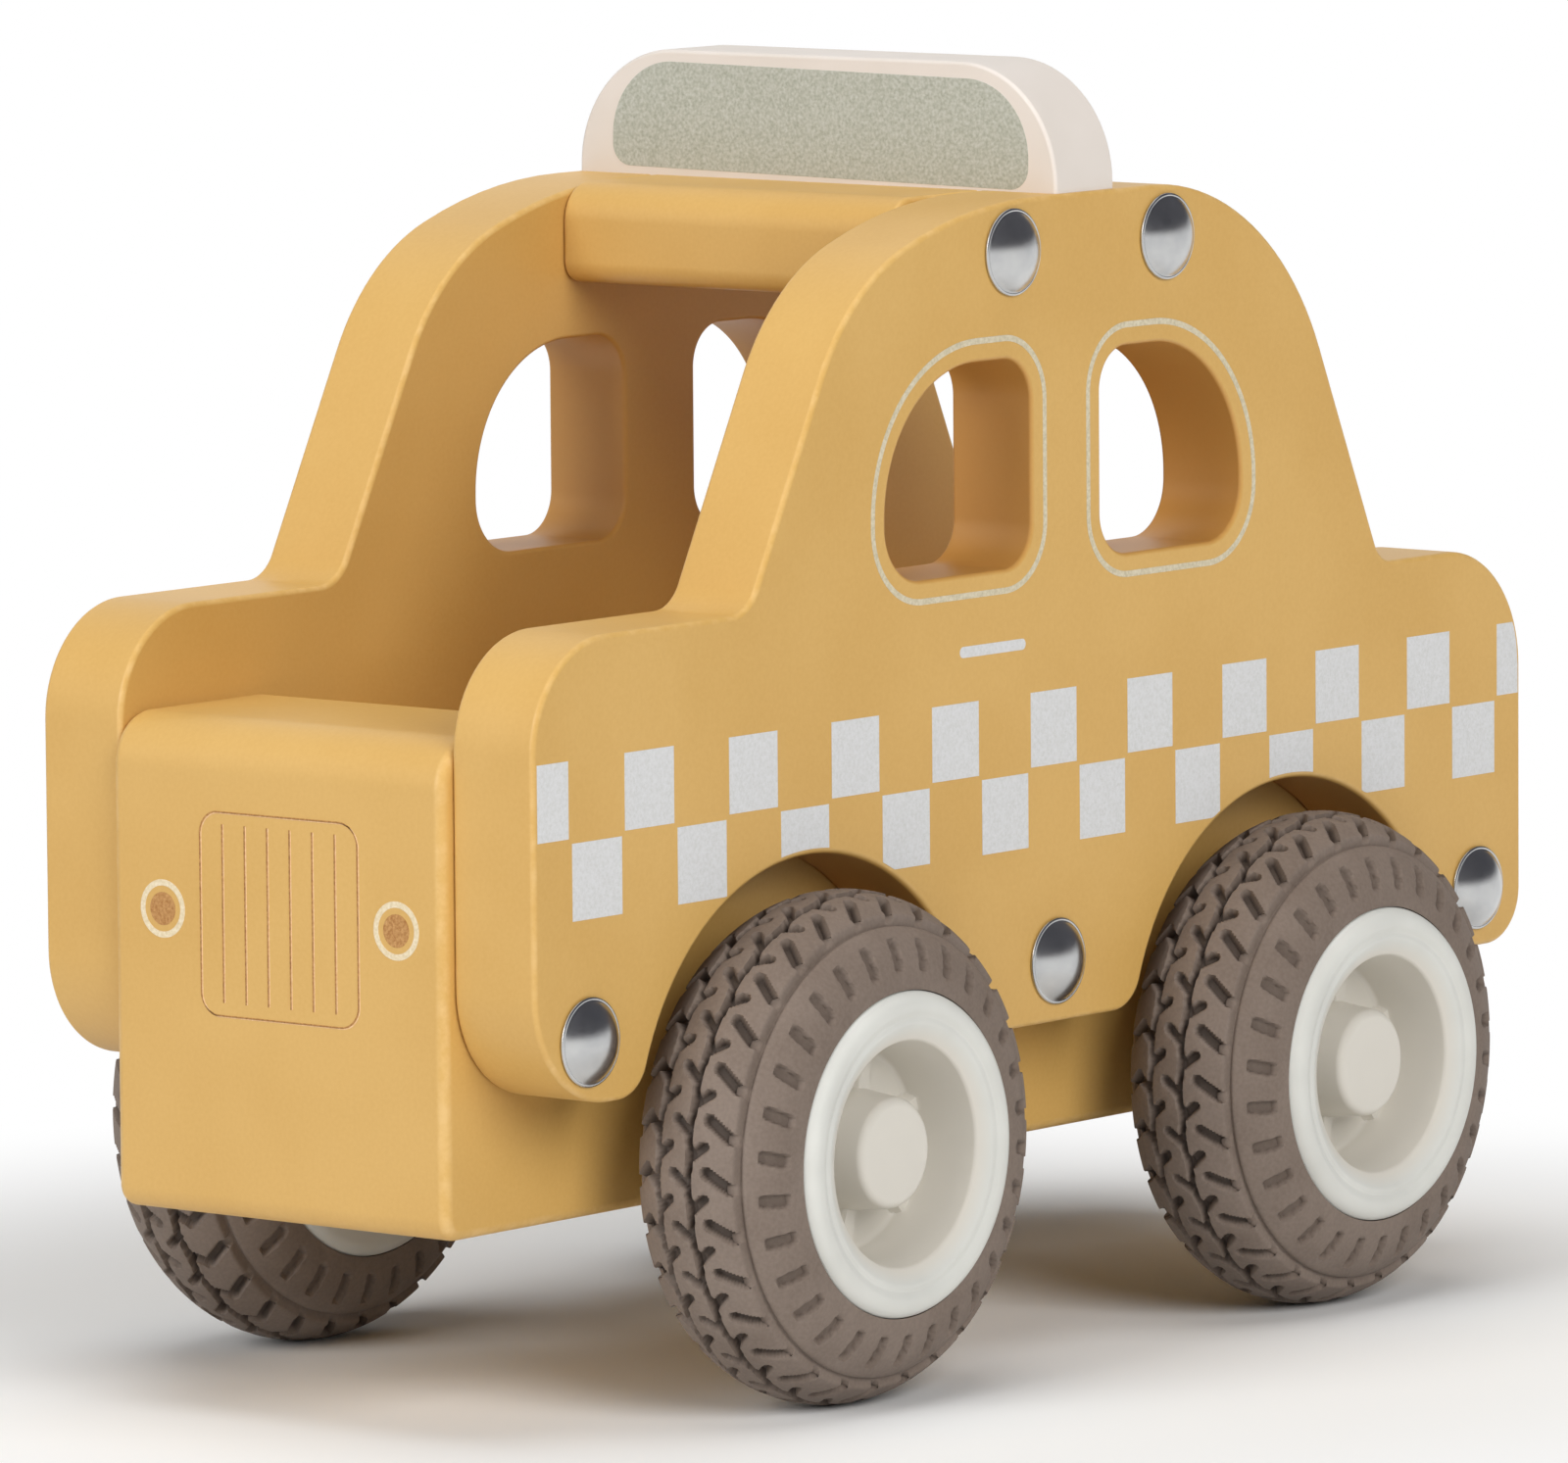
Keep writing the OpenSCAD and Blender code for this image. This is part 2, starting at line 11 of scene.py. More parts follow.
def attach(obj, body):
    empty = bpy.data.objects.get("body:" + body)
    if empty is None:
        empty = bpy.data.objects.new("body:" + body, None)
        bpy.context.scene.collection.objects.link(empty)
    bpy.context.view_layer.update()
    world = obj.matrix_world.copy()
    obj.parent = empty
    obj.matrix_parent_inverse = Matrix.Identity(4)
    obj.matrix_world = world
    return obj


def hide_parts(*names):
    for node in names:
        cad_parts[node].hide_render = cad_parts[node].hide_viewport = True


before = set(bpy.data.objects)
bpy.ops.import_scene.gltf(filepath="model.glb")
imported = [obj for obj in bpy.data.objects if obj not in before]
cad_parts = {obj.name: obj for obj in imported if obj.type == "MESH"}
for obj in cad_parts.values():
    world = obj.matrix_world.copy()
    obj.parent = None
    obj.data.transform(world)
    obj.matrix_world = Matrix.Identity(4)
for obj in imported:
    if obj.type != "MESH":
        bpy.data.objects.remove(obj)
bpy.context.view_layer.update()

# A toy taxi of painted board: two sawn side panels on a chassis block, a roof plank with a sign, and
# four treaded wheels on steel axles. Lengths are in millimetres, X to the nose, Y to the car's left,
# Z up from the floor. The meshes are made in metres.
MM = 0.001

PANEL_LEN, PANEL_IN, PANEL_OUT = 143.8, 18.75, 27.75
BONNET_Z, BOOT_Z, ROOF_Z, SILL_Z = 69.6, 66.5, 103.2, 29.4
BONNET_R, BOOT_R = 10.0, 11.3
PANEL_EDGE, WINDOW_EDGE = 0.5, 0.4
POST_X, POST_LEN = -2.502, 10.095
WINDOW_LEN, WINDOW_LOW, WINDOW_TALL = 20.894, 70.5, 18.6
WHEEL_XS, WHEEL_Y, WHEEL_Z = (34.296, -35.706), 30.2, 22.5
ARCH_R, ARCH_Z, ARCH_FOOT_R = 23.9, 24.0, 4.0

# Outlines


def arc(centre, r, start, turn, step=3.0):
    """The points of an arc about centre, from the angle start through turn, in degrees."""
    n = max(2, math.ceil(abs(turn) / step))
    angles = [math.radians(start + turn * i / n) for i in range(n + 1)]
    return [(centre[0] + r * math.cos(a), centre[1] + r * math.sin(a)) for a in angles]


def between(start, end, steps):
    """The points that part a straight line into steps, from the first step to its end."""
    return [(start[0] + (end[0] - start[0]) * k / steps, start[1] + (end[1] - start[1]) * k / steps)
            for k in range(1, steps + 1)]


def rounded(corners, step=3.0):
    """A closed outline through corners (x, y, radius), each rounded to its radius."""
    points = []
    for i, (x, y, r) in enumerate(corners):
        p = Vector((x, y))
        if r == 0:
            points.append((x, y))
            continue
        back = (Vector(corners[i - 1][:2]) - p).normalized()
        ahead = (Vector(corners[(i + 1) % len(corners)][:2]) - p).normalized()
        half = back.angle(ahead) / 2
        centre = p + (back + ahead).normalized() * (r / math.sin(half))
        first = p + back * (r / math.tan(half)) - centre
        last = p + ahead * (r / math.tan(half)) - centre
        start = math.degrees(math.atan2(first.y, first.x))
        turn = (math.degrees(math.atan2(last.y, last.x)) - start + 180) % 360 - 180
        points += arc(centre, r, start, turn, step)
    return points


def panel_outline():
    """A side panel's outline: bonnet, windscreen edge, roof, boot, and the two wheel arches."""
    half = PANEL_LEN / 2
    screen_foot, fall_start, rear_foot = 42.594, 11.202, -49.999
    screen_angle, fall_angle, rear_angle = 27.5, 20.0, 24.4
    lean, fall, rear_lean = (math.tan(math.radians(a)) for a in (screen_angle, fall_angle, rear_angle))
    top_x = (screen_foot - (ROOF_Z - BONNET_Z) * lean - fall_start * fall * lean) / (1 - fall * lean)
    top_z = ROOF_Z - (top_x - fall_start) * fall
    rear_top = rear_foot + (ROOF_Z - BOOT_Z) * rear_lean
    # Each bend of the roof takes up a share of the straight run beside it
    screen_share, roof_share, rear_share = 0.468, 0.531, 0.4
    fall_len = (top_x - fall_start) / math.cos(math.radians(fall_angle))
    screen_bend = fall_len * screen_share / math.tan(math.radians((90 - screen_angle - fall_angle) / 2))
    roof_bend = fall_len * roof_share / math.tan(math.radians(fall_angle / 2))
    rear_bend = (fall_start - rear_top) * rear_share / math.tan(math.radians((90 - rear_angle) / 2))
    foot_z = SILL_Z + ARCH_FOOT_R
    rise = foot_z - ARCH_Z
    foot_x = math.sqrt((ARCH_R + ARCH_FOOT_R) ** 2 - rise**2)
    # The corners at the sill's ends take up a share of the sill beyond the arches
    front_share, tail_share, screen_foot_r, rear_foot_r = 0.88, 0.5, 4.0, 3.0
    front_bend = (half - WHEEL_XS[0] - foot_x) * front_share
    tail_bend = (half + WHEEL_XS[1] - foot_x) * tail_share
    outline = rounded([
        (half, SILL_Z, front_bend), (half, BONNET_Z, BONNET_R), (screen_foot, BONNET_Z, screen_foot_r),
        (top_x, top_z, screen_bend), (fall_start, ROOF_Z, roof_bend), (rear_top, ROOF_Z, rear_bend),
        (rear_foot, BOOT_Z, rear_foot_r), (-half, BOOT_Z, BOOT_R), (-half, SILL_Z, tail_bend)])
    a = math.degrees(math.atan2(rise, foot_x))
    for x in reversed(WHEEL_XS):
        outline += arc((x - foot_x, foot_z), ARCH_FOOT_R, -90, 90 - a)
        outline += arc((x, ARCH_Z), ARCH_R, 180 - a, 2 * a - 180)
        outline += arc((x + foot_x, foot_z), ARCH_FOOT_R, 180 + a, 90 - a)
    return outline


def window_outline(side, out=0.0):
    """A window in front of the post (side 1) or behind it (side -1), moved out all round."""
    post = POST_X + side * (POST_LEN / 2 - out)
    far = POST_X + side * (POST_LEN / 2 + WINDOW_LEN + out)
    low, top = WINDOW_LOW - out, WINDOW_LOW + WINDOW_TALL + out
    post_r, low_r, top_r = 3.9 + out, 5.0 + out, 13.0 + out
    return rounded([(post, low, post_r), (far, low, low_r), (far, top, top_r), (post, top, post_r)])


def plate_outline(half, low, top, upper_r, low_r):
    """A plate that is even about its middle, with upper and lower corners of their own radius."""
    return rounded([(-half, low, low_r), (half, low, low_r), (half, top, upper_r), (-half, top, upper_r)])


# Shells: the surfaces that make up a piece. Their marks are a number for each point, which the piece's
# finish reads in its own way: an edge line of painted highlight and thin paint, and painted shade, on a
# board; a painted shade tint on a hub; depth of the cuts on a tyre, with painted shade down in them.

Shell = namedtuple("Shell", "points normals marks faces")

# How a shell's own u, v and w lie in the car's X, Y and Z
ON_LEFT = np.array([[1, 0, 0], [0, 0, 1], [0, 1, 0]])
ON_RIGHT = np.array([[1, 0, 0], [0, 0, -1], [0, 1, 0]])
ON_NOSE = np.array([[0, 0, 1], [1, 0, 0], [0, 1, 0]])
ON_BACK = np.array([[0, 0, -1], [1, 0, 0], [0, 1, 0]])
ON_TOP = np.eye(3)
SIDES = (("left", ON_LEFT), ("right", ON_RIGHT))


def tidy_loop(loop, hole):
    """The loop without doubled points, turned so that the board lies to its left."""
    points = [p for i, p in enumerate(loop) if math.dist(p, loop[i - 1]) > 1e-4]
    area = sum(points[i - 1][0] * p[1] - p[0] * points[i - 1][1] for i, p in enumerate(points))
    return np.array(points if (area > 0) != hole else points[::-1])


def inward(loop):
    """The direction into the board at each point of a loop, long enough to move the sides by 1."""
    ahead = np.roll(loop, -1, 0) - loop
    ahead /= np.linalg.norm(ahead, axis=1)[:, None]
    left = np.stack([-ahead[:, 1], ahead[:, 0]], 1)
    middle = left + np.roll(left, 1, 0)
    return middle / (middle * left).sum(1)[:, None]


def ring_faces(rings, around, closed=False):
    """The faces between rings of points, where the last ring may close on the first."""
    return [(k * around + i, k * around + (i + 1) % around, (k + 1) % rings * around + (i + 1) % around,
             (k + 1) % rings * around + i) for k in range(rings if closed else rings - 1)
            for i in range(around)]


def board(loops, low, high, edges, axes, steps=5):
    """A board between two levels: the first loop is its outline, the others are openings through it.
    Each loop's edges are eased to its own radius. The marks are highest along the outline's edges, and
    below nought on the sawn walls of the openings."""
    loops = [tidy_loop(loop, i > 0) for i, loop in enumerate(loops)]
    turns = np.radians(np.linspace(0, 90, steps + 1))
    rings = [(-1, a) for a in turns] + [(1, a) for a in turns[::-1]]
    count = sum(len(loop) for loop in loops)
    points, normals, marks, faces = [], [], [], []
    for way_up, a in rings:
        for i, (loop, edge) in enumerate(zip(loops, edges)):
            drop = edge * (1 - math.cos(a))
            level = high - drop if way_up > 0 else low + drop
            way = inward(loop)
            flat = -way / np.linalg.norm(way, axis=1)[:, None] * math.sin(a)
            points.append(np.c_[loop + way * edge * (1 - math.sin(a)), np.full(len(loop), level)])
            normals.append(np.c_[flat, np.full(len(loop), way_up * math.cos(a))])
            # The yellow finish reads these marks as a paler edge line (painted highlight and thin paint) and
            # painted shade on the opening walls
            marks += [math.sin(2 * a) if i == 0 else -math.sin(a)] * len(loop)
    start = 0
    for loop in loops:
        n = len(loop)
        for ring in range(len(rings) - 1):
            here, above = ring * count + start, (ring + 1) * count + start
            faces += [(here + i, here + (i + 1) % n, above + (i + 1) % n, above + i) for i in range(n)]
        start += n
    cap = tessellate_polygon([[Vector((*p, 0)) for p in loop + inward(loop) * edge]
                              for loop, edge in zip(loops, edges)])
    top = (len(rings) - 1) * count
    faces += [tuple(reversed(f)) for f in cap] + [tuple(top + i for i in f) for f in cap]
    return Shell(np.concatenate(points) @ axes.T, np.concatenate(normals) @ axes.T, marks, faces)


def spun(profile, axes, at=(0, 0, 0), around=96):
    """A turned or moulded round shape, from a profile of (radius, height) that ends on its axis."""
    turns = np.radians(np.arange(around) * 360 / around)
    points = np.concatenate([np.c_[r * np.cos(turns), r * np.sin(turns), np.full(around, h)]
                             for r, h in profile])
    return Shell(points @ axes.T + np.array(at), None, [0.0] * len(points),
                 ring_faces(len(profile), around))


def printed(loops, level, axes):
    """A film of printing ink on a face at the given level, drawn thick enough to stand clear of it."""
    sunk, proud, edge = 0.05, 0.03, 0.02
    return board(loops, level - sunk, level + proud, [edge] * len(loops), axes, steps=1)


def mesh_of(name, shells, finish, smooth_angle=35.0):
    """One mesh from shells. Points that meet are joined, and a board keeps its own flat normals."""
    points, normals, marks, faces, found = [], [], [], [], {}
    for shell in shells:
        where = []
        for i, p in enumerate(shell.points):
            key = tuple(np.round(p, 4))
            if key not in found:
                found[key] = len(points)
                points.append(p * MM)
                normals.append((0, 0, 0) if shell.normals is None else shell.normals[i])
                marks.append(shell.marks[i])
            where.append(found[key])
        for face in shell.faces:
            corners = list(dict.fromkeys(where[i] for i in face))
            if len(corners) > 2:
                faces.append(corners)
    mesh = bpy.data.meshes.new(name)
    mesh.from_pydata(points, [], faces)
    mesh.attributes.new("mark", "FLOAT", "POINT").data.foreach_set("value", marks)
    work = bmesh.new()
    work.from_mesh(mesh)
    bmesh.ops.recalc_face_normals(work, faces=work.faces)
    work.to_mesh(mesh)
    work.free()
    mesh.shade_smooth()
    if all(shell.normals is not None for shell in shells):
        mesh.normals_split_custom_set_from_vertices([tuple(n) for n in normals])
    else:
        mesh.set_sharp_from_angle(angle=math.radians(smooth_angle))
    mesh.materials.append(finish)
    return mesh


def put(name, mesh, body, node=None, at=(0, 0, 0), turn=0.0):
    """A piece of the taxi, which rides on a body and may stand for a CAD node."""
    piece = bpy.data.objects.new(name, mesh)
    bpy.context.collection.objects.link(piece)
    piece.location = Vector(at) * MM
    piece.rotation_euler = (0, 0, math.radians(turn))
    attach(piece, body)
    if node:
        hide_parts(node)


def put_on_body(name, shells, finish, node=None):
    """A piece that is fixed to the car's body, where its shells lie."""
    put(name, mesh_of(name, shells, finish), "body", node)


# Finishes


def linear(code):
    """An sRGB hex colour as linear values."""
    shares = [int(code[i:i + 2], 16) / 255 for i in (1, 3, 5)]
    return tuple(c / 12.92 if c <= 0.04045 else ((c + 0.055) / 1.055) ** 2.4 for c in shares) + (1.0,)


def add(tree, kind, inputs=None, **settings):
    """Adds a node with its settings. An input that is another node's output is linked."""
    node = tree.nodes.new(kind)
    for name, value in settings.items():
        setattr(node, name, value)
    for name, value in (inputs or {}).items():
        if isinstance(value, bpy.types.NodeSocket):
            tree.links.new(value, node.inputs[name])
        else:
            node.inputs[name].default_value = value
    return node


def finish(name, **surface):
    """A new material with its surface shader's constants set. Gives the material, its tree, the shader
    and the place on the piece in metres."""
    material = bpy.data.materials.new(name)
    material.use_nodes = True
    tree = material.node_tree
    shader = tree.nodes["Principled BSDF"]
    for socket, value in surface.items():
        shader.inputs[socket].default_value = value
    return material, tree, shader, add(tree, "ShaderNodeTexCoord").outputs["Object"]


def clouds(tree, place, size, detail=2.0, roughness=0.5):
    """A noise pattern with patches of about the given size in millimetres."""
    return add(tree, "ShaderNodeTexNoise", {
        "Vector": place, "Scale": 1.0 / (size * MM), "Detail": detail, "Roughness": roughness}).outputs["Fac"]


def blotched(tree, place, size, stops, detail=2.0, roughness=0.5):
    """A colour that wanders between stops (share, hex) over patches of the given size."""
    ramp = add(tree, "ShaderNodeValToRGB", {"Fac": clouds(tree, place, size, detail, roughness)})
    while len(ramp.color_ramp.elements) < len(stops):
        ramp.color_ramp.elements.new(0.5)
    for element, (share, code) in zip(ramp.color_ramp.elements, stops):
        element.position, element.color = share, linear(code)
    return ramp.outputs["Color"]


def blend(tree, share, first, second):
    """A colour that is the first one at share 0 and the second at 1."""
    return add(tree, "ShaderNodeMix", {"Factor": share, "A": first, "B": second},
               data_type="RGBA").outputs["Result"]


def ranged(tree, value, before=(0.0, 1.0), after=(0.0, 1.0), **settings):
    """A value carried from one range over to another, and held within it."""
    return add(tree, "ShaderNodeMapRange", {
        "Value": value, "From Min": before[0], "From Max": before[1], "To Min": after[0],
        "To Max": after[1]}, **settings).outputs["Result"]


def marks_of(tree):
    """The piece's own marks."""
    return add(tree, "ShaderNodeAttribute", attribute_name="mark").outputs["Fac"]


def pimple(tree, shader, place, size, depth, strength):
    """Fine bumps of the given size and depth in millimetres."""
    bump = add(tree, "ShaderNodeBump", {"Strength": strength, "Distance": depth * MM,
                                        "Height": clouds(tree, place, size)})
    tree.links.new(bump.outputs["Normal"], shader.inputs["Normal"])


def satin_paint():
    """Sprayed satin paint on sawn board: even warm yellow, faint clouds, fine orange peel in the gloss,
    a paler line over the eased edges, which is painted highlight as well as thin paint, and a deeper orange
    that is painted shade on the sawn walls of the windows and wheel arches."""
    material, tree, shader, place = finish("sprayed_satin_paint_on_board", Roughness=0.46, IOR=1.5)
    cloud = blotched(tree, place, 16, [(0.35, "#cfa45a"), (0.65, "#d5ab62")])
    # The spray grain is about 0.1 mm, drawn at 0.4 mm so that it shows
    grain = blotched(tree, place, 0.4, [(0.3, "#c99b51"), (0.7, "#dab36c")])
    # The marks carry a paler line along the eased edges (painted highlight as well as thin paint) above
    # nought, and painted shade below nought
    edge_light_and_shade_marks = marks_of(tree)
    patchy = ranged(tree, clouds(tree, place, 1.6, 4.0), (0.42, 0.7), (0.05, 0.4))
    edge_highlight_and_thin_paint = add(tree, "ShaderNodeMath", {0: edge_light_and_shade_marks, 1: patchy}, operation="MULTIPLY").outputs[0]
    # Painted shade: a deeper orange on the sawn walls of the openings and arches and on the panels' inner
    # faces, where shade falls
    sunk = ranged(tree, edge_light_and_shade_marks, (0.0, -1.0), (0.0, 0.75))
    even = blend(tree, 0.18, cloud, grain)
    # Painted highlight along the eased edges, patchy where the paint is thin
    edged = blend(tree, edge_highlight_and_thin_paint, even, linear("#ecca92"))
    tree.links.new(blend(tree, sunk, edged, linear("#bd8540")), shader.inputs["Base Color"])
    pimple(tree, shader, place, size=0.7, depth=0.05, strength=0.12)
    return material


def cream_paint():
    """Sprayed cream paint on board: soft warm white with hardly any cloud, and fine orange peel."""
    material, tree, shader, place = finish("sprayed_cream_paint_on_board", Roughness=0.5, IOR=1.5)
    cloud = blotched(tree, place, 9, [(0.35, "#ddd4cb"), (0.65, "#e2d9d1")])
    tree.links.new(cloud, shader.inputs["Base Color"])
    pimple(tree, shader, place, size=0.7, depth=0.05, strength=0.12)
    return material


def pad_ink(name, stops):
    """Pad-printed ink: matt, with a fine speckle where the ink pulls into grains as it dries."""
    material, tree, shader, place = finish(name, Roughness=0.6, IOR=1.48)
    # The real speckle is under 0.1 mm, drawn at 0.3 mm so that it shows
    speckle = blotched(tree, place, 0.3, stops, detail=3.0, roughness=0.6)
    tree.links.new(speckle, shader.inputs["Base Color"])
    return material


def plated_steel():
    """Pressed steel nail heads with bright nickel plate: a mirror with a slight drawn haze."""
    material, tree, shader, place = finish("nickel_plated_pressed_steel", Metallic=1.0)
    tint = blotched(tree, place, 2.5, [(0.3, "#bdbebf"), (0.7, "#cdcdcc")])
    tree.links.new(tint, shader.inputs["Base Color"])
    haze = ranged(tree, clouds(tree, place, 0.6, 3.0), after=(0.2, 0.28))
    tree.links.new(haze, shader.inputs["Roughness"])
    return material


def moulded_abs():
    """Injection-moulded ABS hubs: off-white with a soft sheen and faint flow clouds, and a warmer tint inside
    the ring, which is painted shade in the dish and boss."""
    material, tree, shader, place = finish("moulded_off_white_abs", Roughness=0.38, IOR=1.53)
    cloud = blotched(tree, place, 7, [(0.35, "#cfcfc9"), (0.65, "#d7d7d1")])
    # Painted shade: a warmer tint inside the ring, over the dish, ribs and boss
    warm = blend(tree, marks_of(tree), cloud, linear("#d6cfc3"))
    tree.links.new(warm, shader.inputs["Base Color"])
    pimple(tree, shader, place, size=0.5, depth=0.03, strength=0.08)
    return material


def moulded_rubber():
    """Moulded soft rubber tyres: dusty taupe, matt, with a fine bloom, and painted shade that darkens them
    down in the tread cuts."""
    material, tree, shader, place = finish("moulded_taupe_rubber", Roughness=0.75, IOR=1.52)
    cloud = blotched(tree, place, 6, [(0.35, "#75675d"), (0.65, "#807268")])
    bloom = blotched(tree, place, 0.35, [(0.3, "#6c5e54"), (0.7, "#887a6f")])
    # Painted shade: darker the deeper the tread cut
    down = ranged(tree, marks_of(tree), (0.25, 1.0), (0.0, 0.75))
    dusty_with_cut_shade = blend(tree, down, blend(tree, 0.3, cloud, bloom), linear("#3a302a"))
    tree.links.new(dusty_with_cut_shade, shader.inputs["Base Color"])
    pimple(tree, shader, place, size=0.4, depth=0.04, strength=0.2)
    return material


def drawn_steel():
    """Drawn steel axle rod: grey metal with fine lines along its length."""
    material, tree, shader, place = finish("drawn_steel_rod", Metallic=1.0)
    along = add(tree, "ShaderNodeMapping", {"Vector": place, "Scale": (1.0, 0.02, 1.0)}).outputs["Vector"]
    tint = blotched(tree, along, 0.3, [(0.3, "#9c9c9b"), (0.7, "#b6b6b4")])
    tree.links.new(tint, shader.inputs["Base Color"])
    lines = ranged(tree, clouds(tree, along, 0.3), after=(0.25, 0.4))
    tree.links.new(lines, shader.inputs["Roughness"])
    return material


def turned_beech():
    """Turned beech dowel: pale tan with fine grain lines along its length."""
    material, tree, shader, place = finish("turned_beech", Roughness=0.6, IOR=1.5)
    along = add(tree, "ShaderNodeMapping", {"Vector": place, "Scale": (1.0, 1.0, 0.08)}).outputs["Vector"]
    grain = blotched(tree, along, 0.7, [(0.35, "#c89f6f"), (0.65, "#dcb98b")], detail=4.0)
    tree.links.new(grain, shader.inputs["Base Color"])
    return material


YELLOW = satin_paint()
CREAM = cream_paint()
WHITE_INK = pad_ink("pad_printed_white_ink", [(0.3, "#cdcdcb"), (0.5, "#d5d5d5"), (0.7, "#dbdbdc")])
LINE_INK = pad_ink("pad_printed_thin_cream_ink", [(0.3, "#bfb498"), (0.5, "#cfc4a9"), (0.7, "#dbd2bb")])
SAGE_INK = pad_ink("pad_printed_sage_ink", [(0.3, "#9da092"), (0.5, "#b2b4a8"), (0.7, "#c2c4bc")])
BROWN_INK = pad_ink("pad_printed_brown_ink", [(0.3, "#8f5f2d"), (0.5, "#ad7a40"), (0.7, "#c49459")])
# A pale painted highlight along one side of each grille line
PAINTED_LIP_HIGHLIGHT = pad_ink("painted_highlight_beside_grille_lines", [(0.3, "#dcae78"), (0.5, "#e6bd8c"), (0.7, "#eccba2")])
AMBER_INK = pad_ink("pad_printed_amber_ink", [(0.3, "#9c652c"), (0.5, "#b3824a"), (0.7, "#c89a61")])
IVORY_INK = pad_ink("pad_printed_ivory_ink", [(0.3, "#d6c39c"), (0.5, "#e2d1af"), (0.7, "#ecdfc6")])
NAIL_STEEL = plated_steel()
HUB_ABS = moulded_abs()
TYRE_RUBBER = moulded_rubber()
AXLE_STEEL = drawn_steel()
BEECH = turned_beech()

# Panels, chassis block and roof plank

NOSE_X, BLOCK_LOW, NOSE_Z, TAIL_Z, CABIN_Z = 73.2, 17.7, 60.9, 58.0, 53.0
NOSE_LEN, BLOCK_EDGE = 20.995, 1.0
SOCKET_X, SOCKET_R, SOCKET_LIP, SOCKET_DEEP, SOCKET_AROUND = 25.999, 14.25, 0.8, 16.0, 96
PLANK_X, PLANK_LEN, PLANK_LOW = -5.996, 34.397, 94.2


def panel_shell(axes):
    """A side panel with its windows. Its marks put painted shade on the sawn walls of its wheel arches too,
    and somewhat on its inner face, which lies in the shade of the cabin."""
    loops = [panel_outline(), window_outline(1), window_outline(-1)]
    panel = board(loops, PANEL_IN, PANEL_OUT, [PANEL_EDGE, WINDOW_EDGE, WINDOW_EDGE], axes)
    arch_band, inner_painted_shade = 0.3, -0.22
    x, y, z = panel.points.T
    in_arch = np.min([np.hypot(x - wheel, z - ARCH_Z) for wheel in WHEEL_XS], axis=0) < ARCH_R + arch_band
    # Painted shade marks on the arch walls and on the inner face
    marks = np.where(in_arch, np.abs(panel.normals[:, 1]) - 1, panel.marks)
    return panel._replace(marks=np.where(np.abs(y) < PANEL_IN + 0.01, inner_painted_shade, marks))


def socket_shell():
    """The round socket in the cabin floor, with a rounded lip and foot."""
    foot_r, step = 1.0, 15
    lip = arc((SOCKET_R + SOCKET_LIP, CABIN_Z - SOCKET_LIP), SOCKET_LIP, 90, 90, step)
    foot = arc((SOCKET_R - foot_r, CABIN_Z - SOCKET_DEEP + foot_r), foot_r, 0, -90, step)
    bore = spun(lip + foot + [(0, CABIN_Z - SOCKET_DEEP)], ON_TOP, (SOCKET_X, 0, 0), SOCKET_AROUND)
    away = bore.points - np.array((SOCKET_X, 0, 0))
    away[:, 2] = 0
    away /= np.maximum(np.linalg.norm(away, axis=1), 1e-9)[:, None]
    # Each ring's normals turn from straight up to inward down the lip, and back again round the foot
    tilt = [math.sin(math.radians(a)) for a in range(0, 91, step)]
    inwards = np.repeat(tilt + tilt[::-1] + [0.0], SOCKET_AROUND)[:, None]
    upwards = np.sqrt(np.maximum(0.0, 1 - inwards**2)) * np.array((0, 0, 1.0))
    return bore._replace(normals=upwards - away * inwards)


def chassis_shells():
    """The chassis block with its nose, cabin and tail, and the round socket in the cabin floor."""
    wall_x = NOSE_X - NOSE_LEN
    profile = rounded([
        (NOSE_X, BLOCK_LOW, 2.0), (NOSE_X, NOSE_Z, 4.5), (wall_x, NOSE_Z, 2.5), (wall_x, CABIN_Z, 2.5),
        (-wall_x, CABIN_Z, 2.5), (-wall_x, TAIL_Z, 2.5), (-NOSE_X, TAIL_Z, 4.5), (-NOSE_X, BLOCK_LOW, 2.0)])
    block = board([profile], -PANEL_IN, PANEL_IN, [BLOCK_EDGE], ON_LEFT)
    # The face of the floor that the socket goes through is left out, and made again with its round hole
    kept, floor = [], None
    for face in block.faces:
        corners = block.points[list(face)]
        low, high = corners.min(0), corners.max(0)
        level = np.abs(corners[:, 2] - CABIN_Z).max() < 1e-6
        if level and low[0] < SOCKET_X < high[0] and low[1] < 0 < high[1]:
            floor = corners
        else:
            kept.append(face)
    turns = [2 * math.pi * i / SOCKET_AROUND for i in range(SOCKET_AROUND)]
    rim_r = SOCKET_R + SOCKET_LIP
    rim = [Vector((SOCKET_X + rim_r * math.cos(a), rim_r * math.sin(a), 0)) for a in turns]
    loops = [[Vector((p[0], p[1], 0)) for p in floor], rim]
    points = np.array([(p.x, p.y, CABIN_Z) for loop in loops for p in loop])
    plate = Shell(points, np.array([(0, 0, 1.0)] * len(points)), [0.0] * len(points),
                  [tuple(f) for f in tessellate_polygon(loops)])
    return [block._replace(faces=kept), plate, socket_shell()]


def plank_shell():
    """The roof plank, with rounded upper edges."""
    front, rear, low_r, top_r, edge = PLANK_X + PLANK_LEN / 2, PLANK_X - PLANK_LEN / 2, 2.0, 3.4, 0.5
    profile = rounded([(front, PLANK_LOW, low_r), (front, ROOF_Z, top_r), (rear, ROOF_Z, top_r),
                       (rear, PLANK_LOW, low_r)])
    return board([profile], -PANEL_IN, PANEL_IN, [edge], ON_LEFT)


for side, axes in SIDES:
    put_on_body(side + "_panel_board", [panel_shell(axes)], YELLOW, side + "_side_panel")
put_on_body("chassis_board", chassis_shells(), YELLOW, "chassis_block")
put_on_body("roof_board", [plank_shell()], YELLOW, "roof_plank")

# Roof sign with its printed field

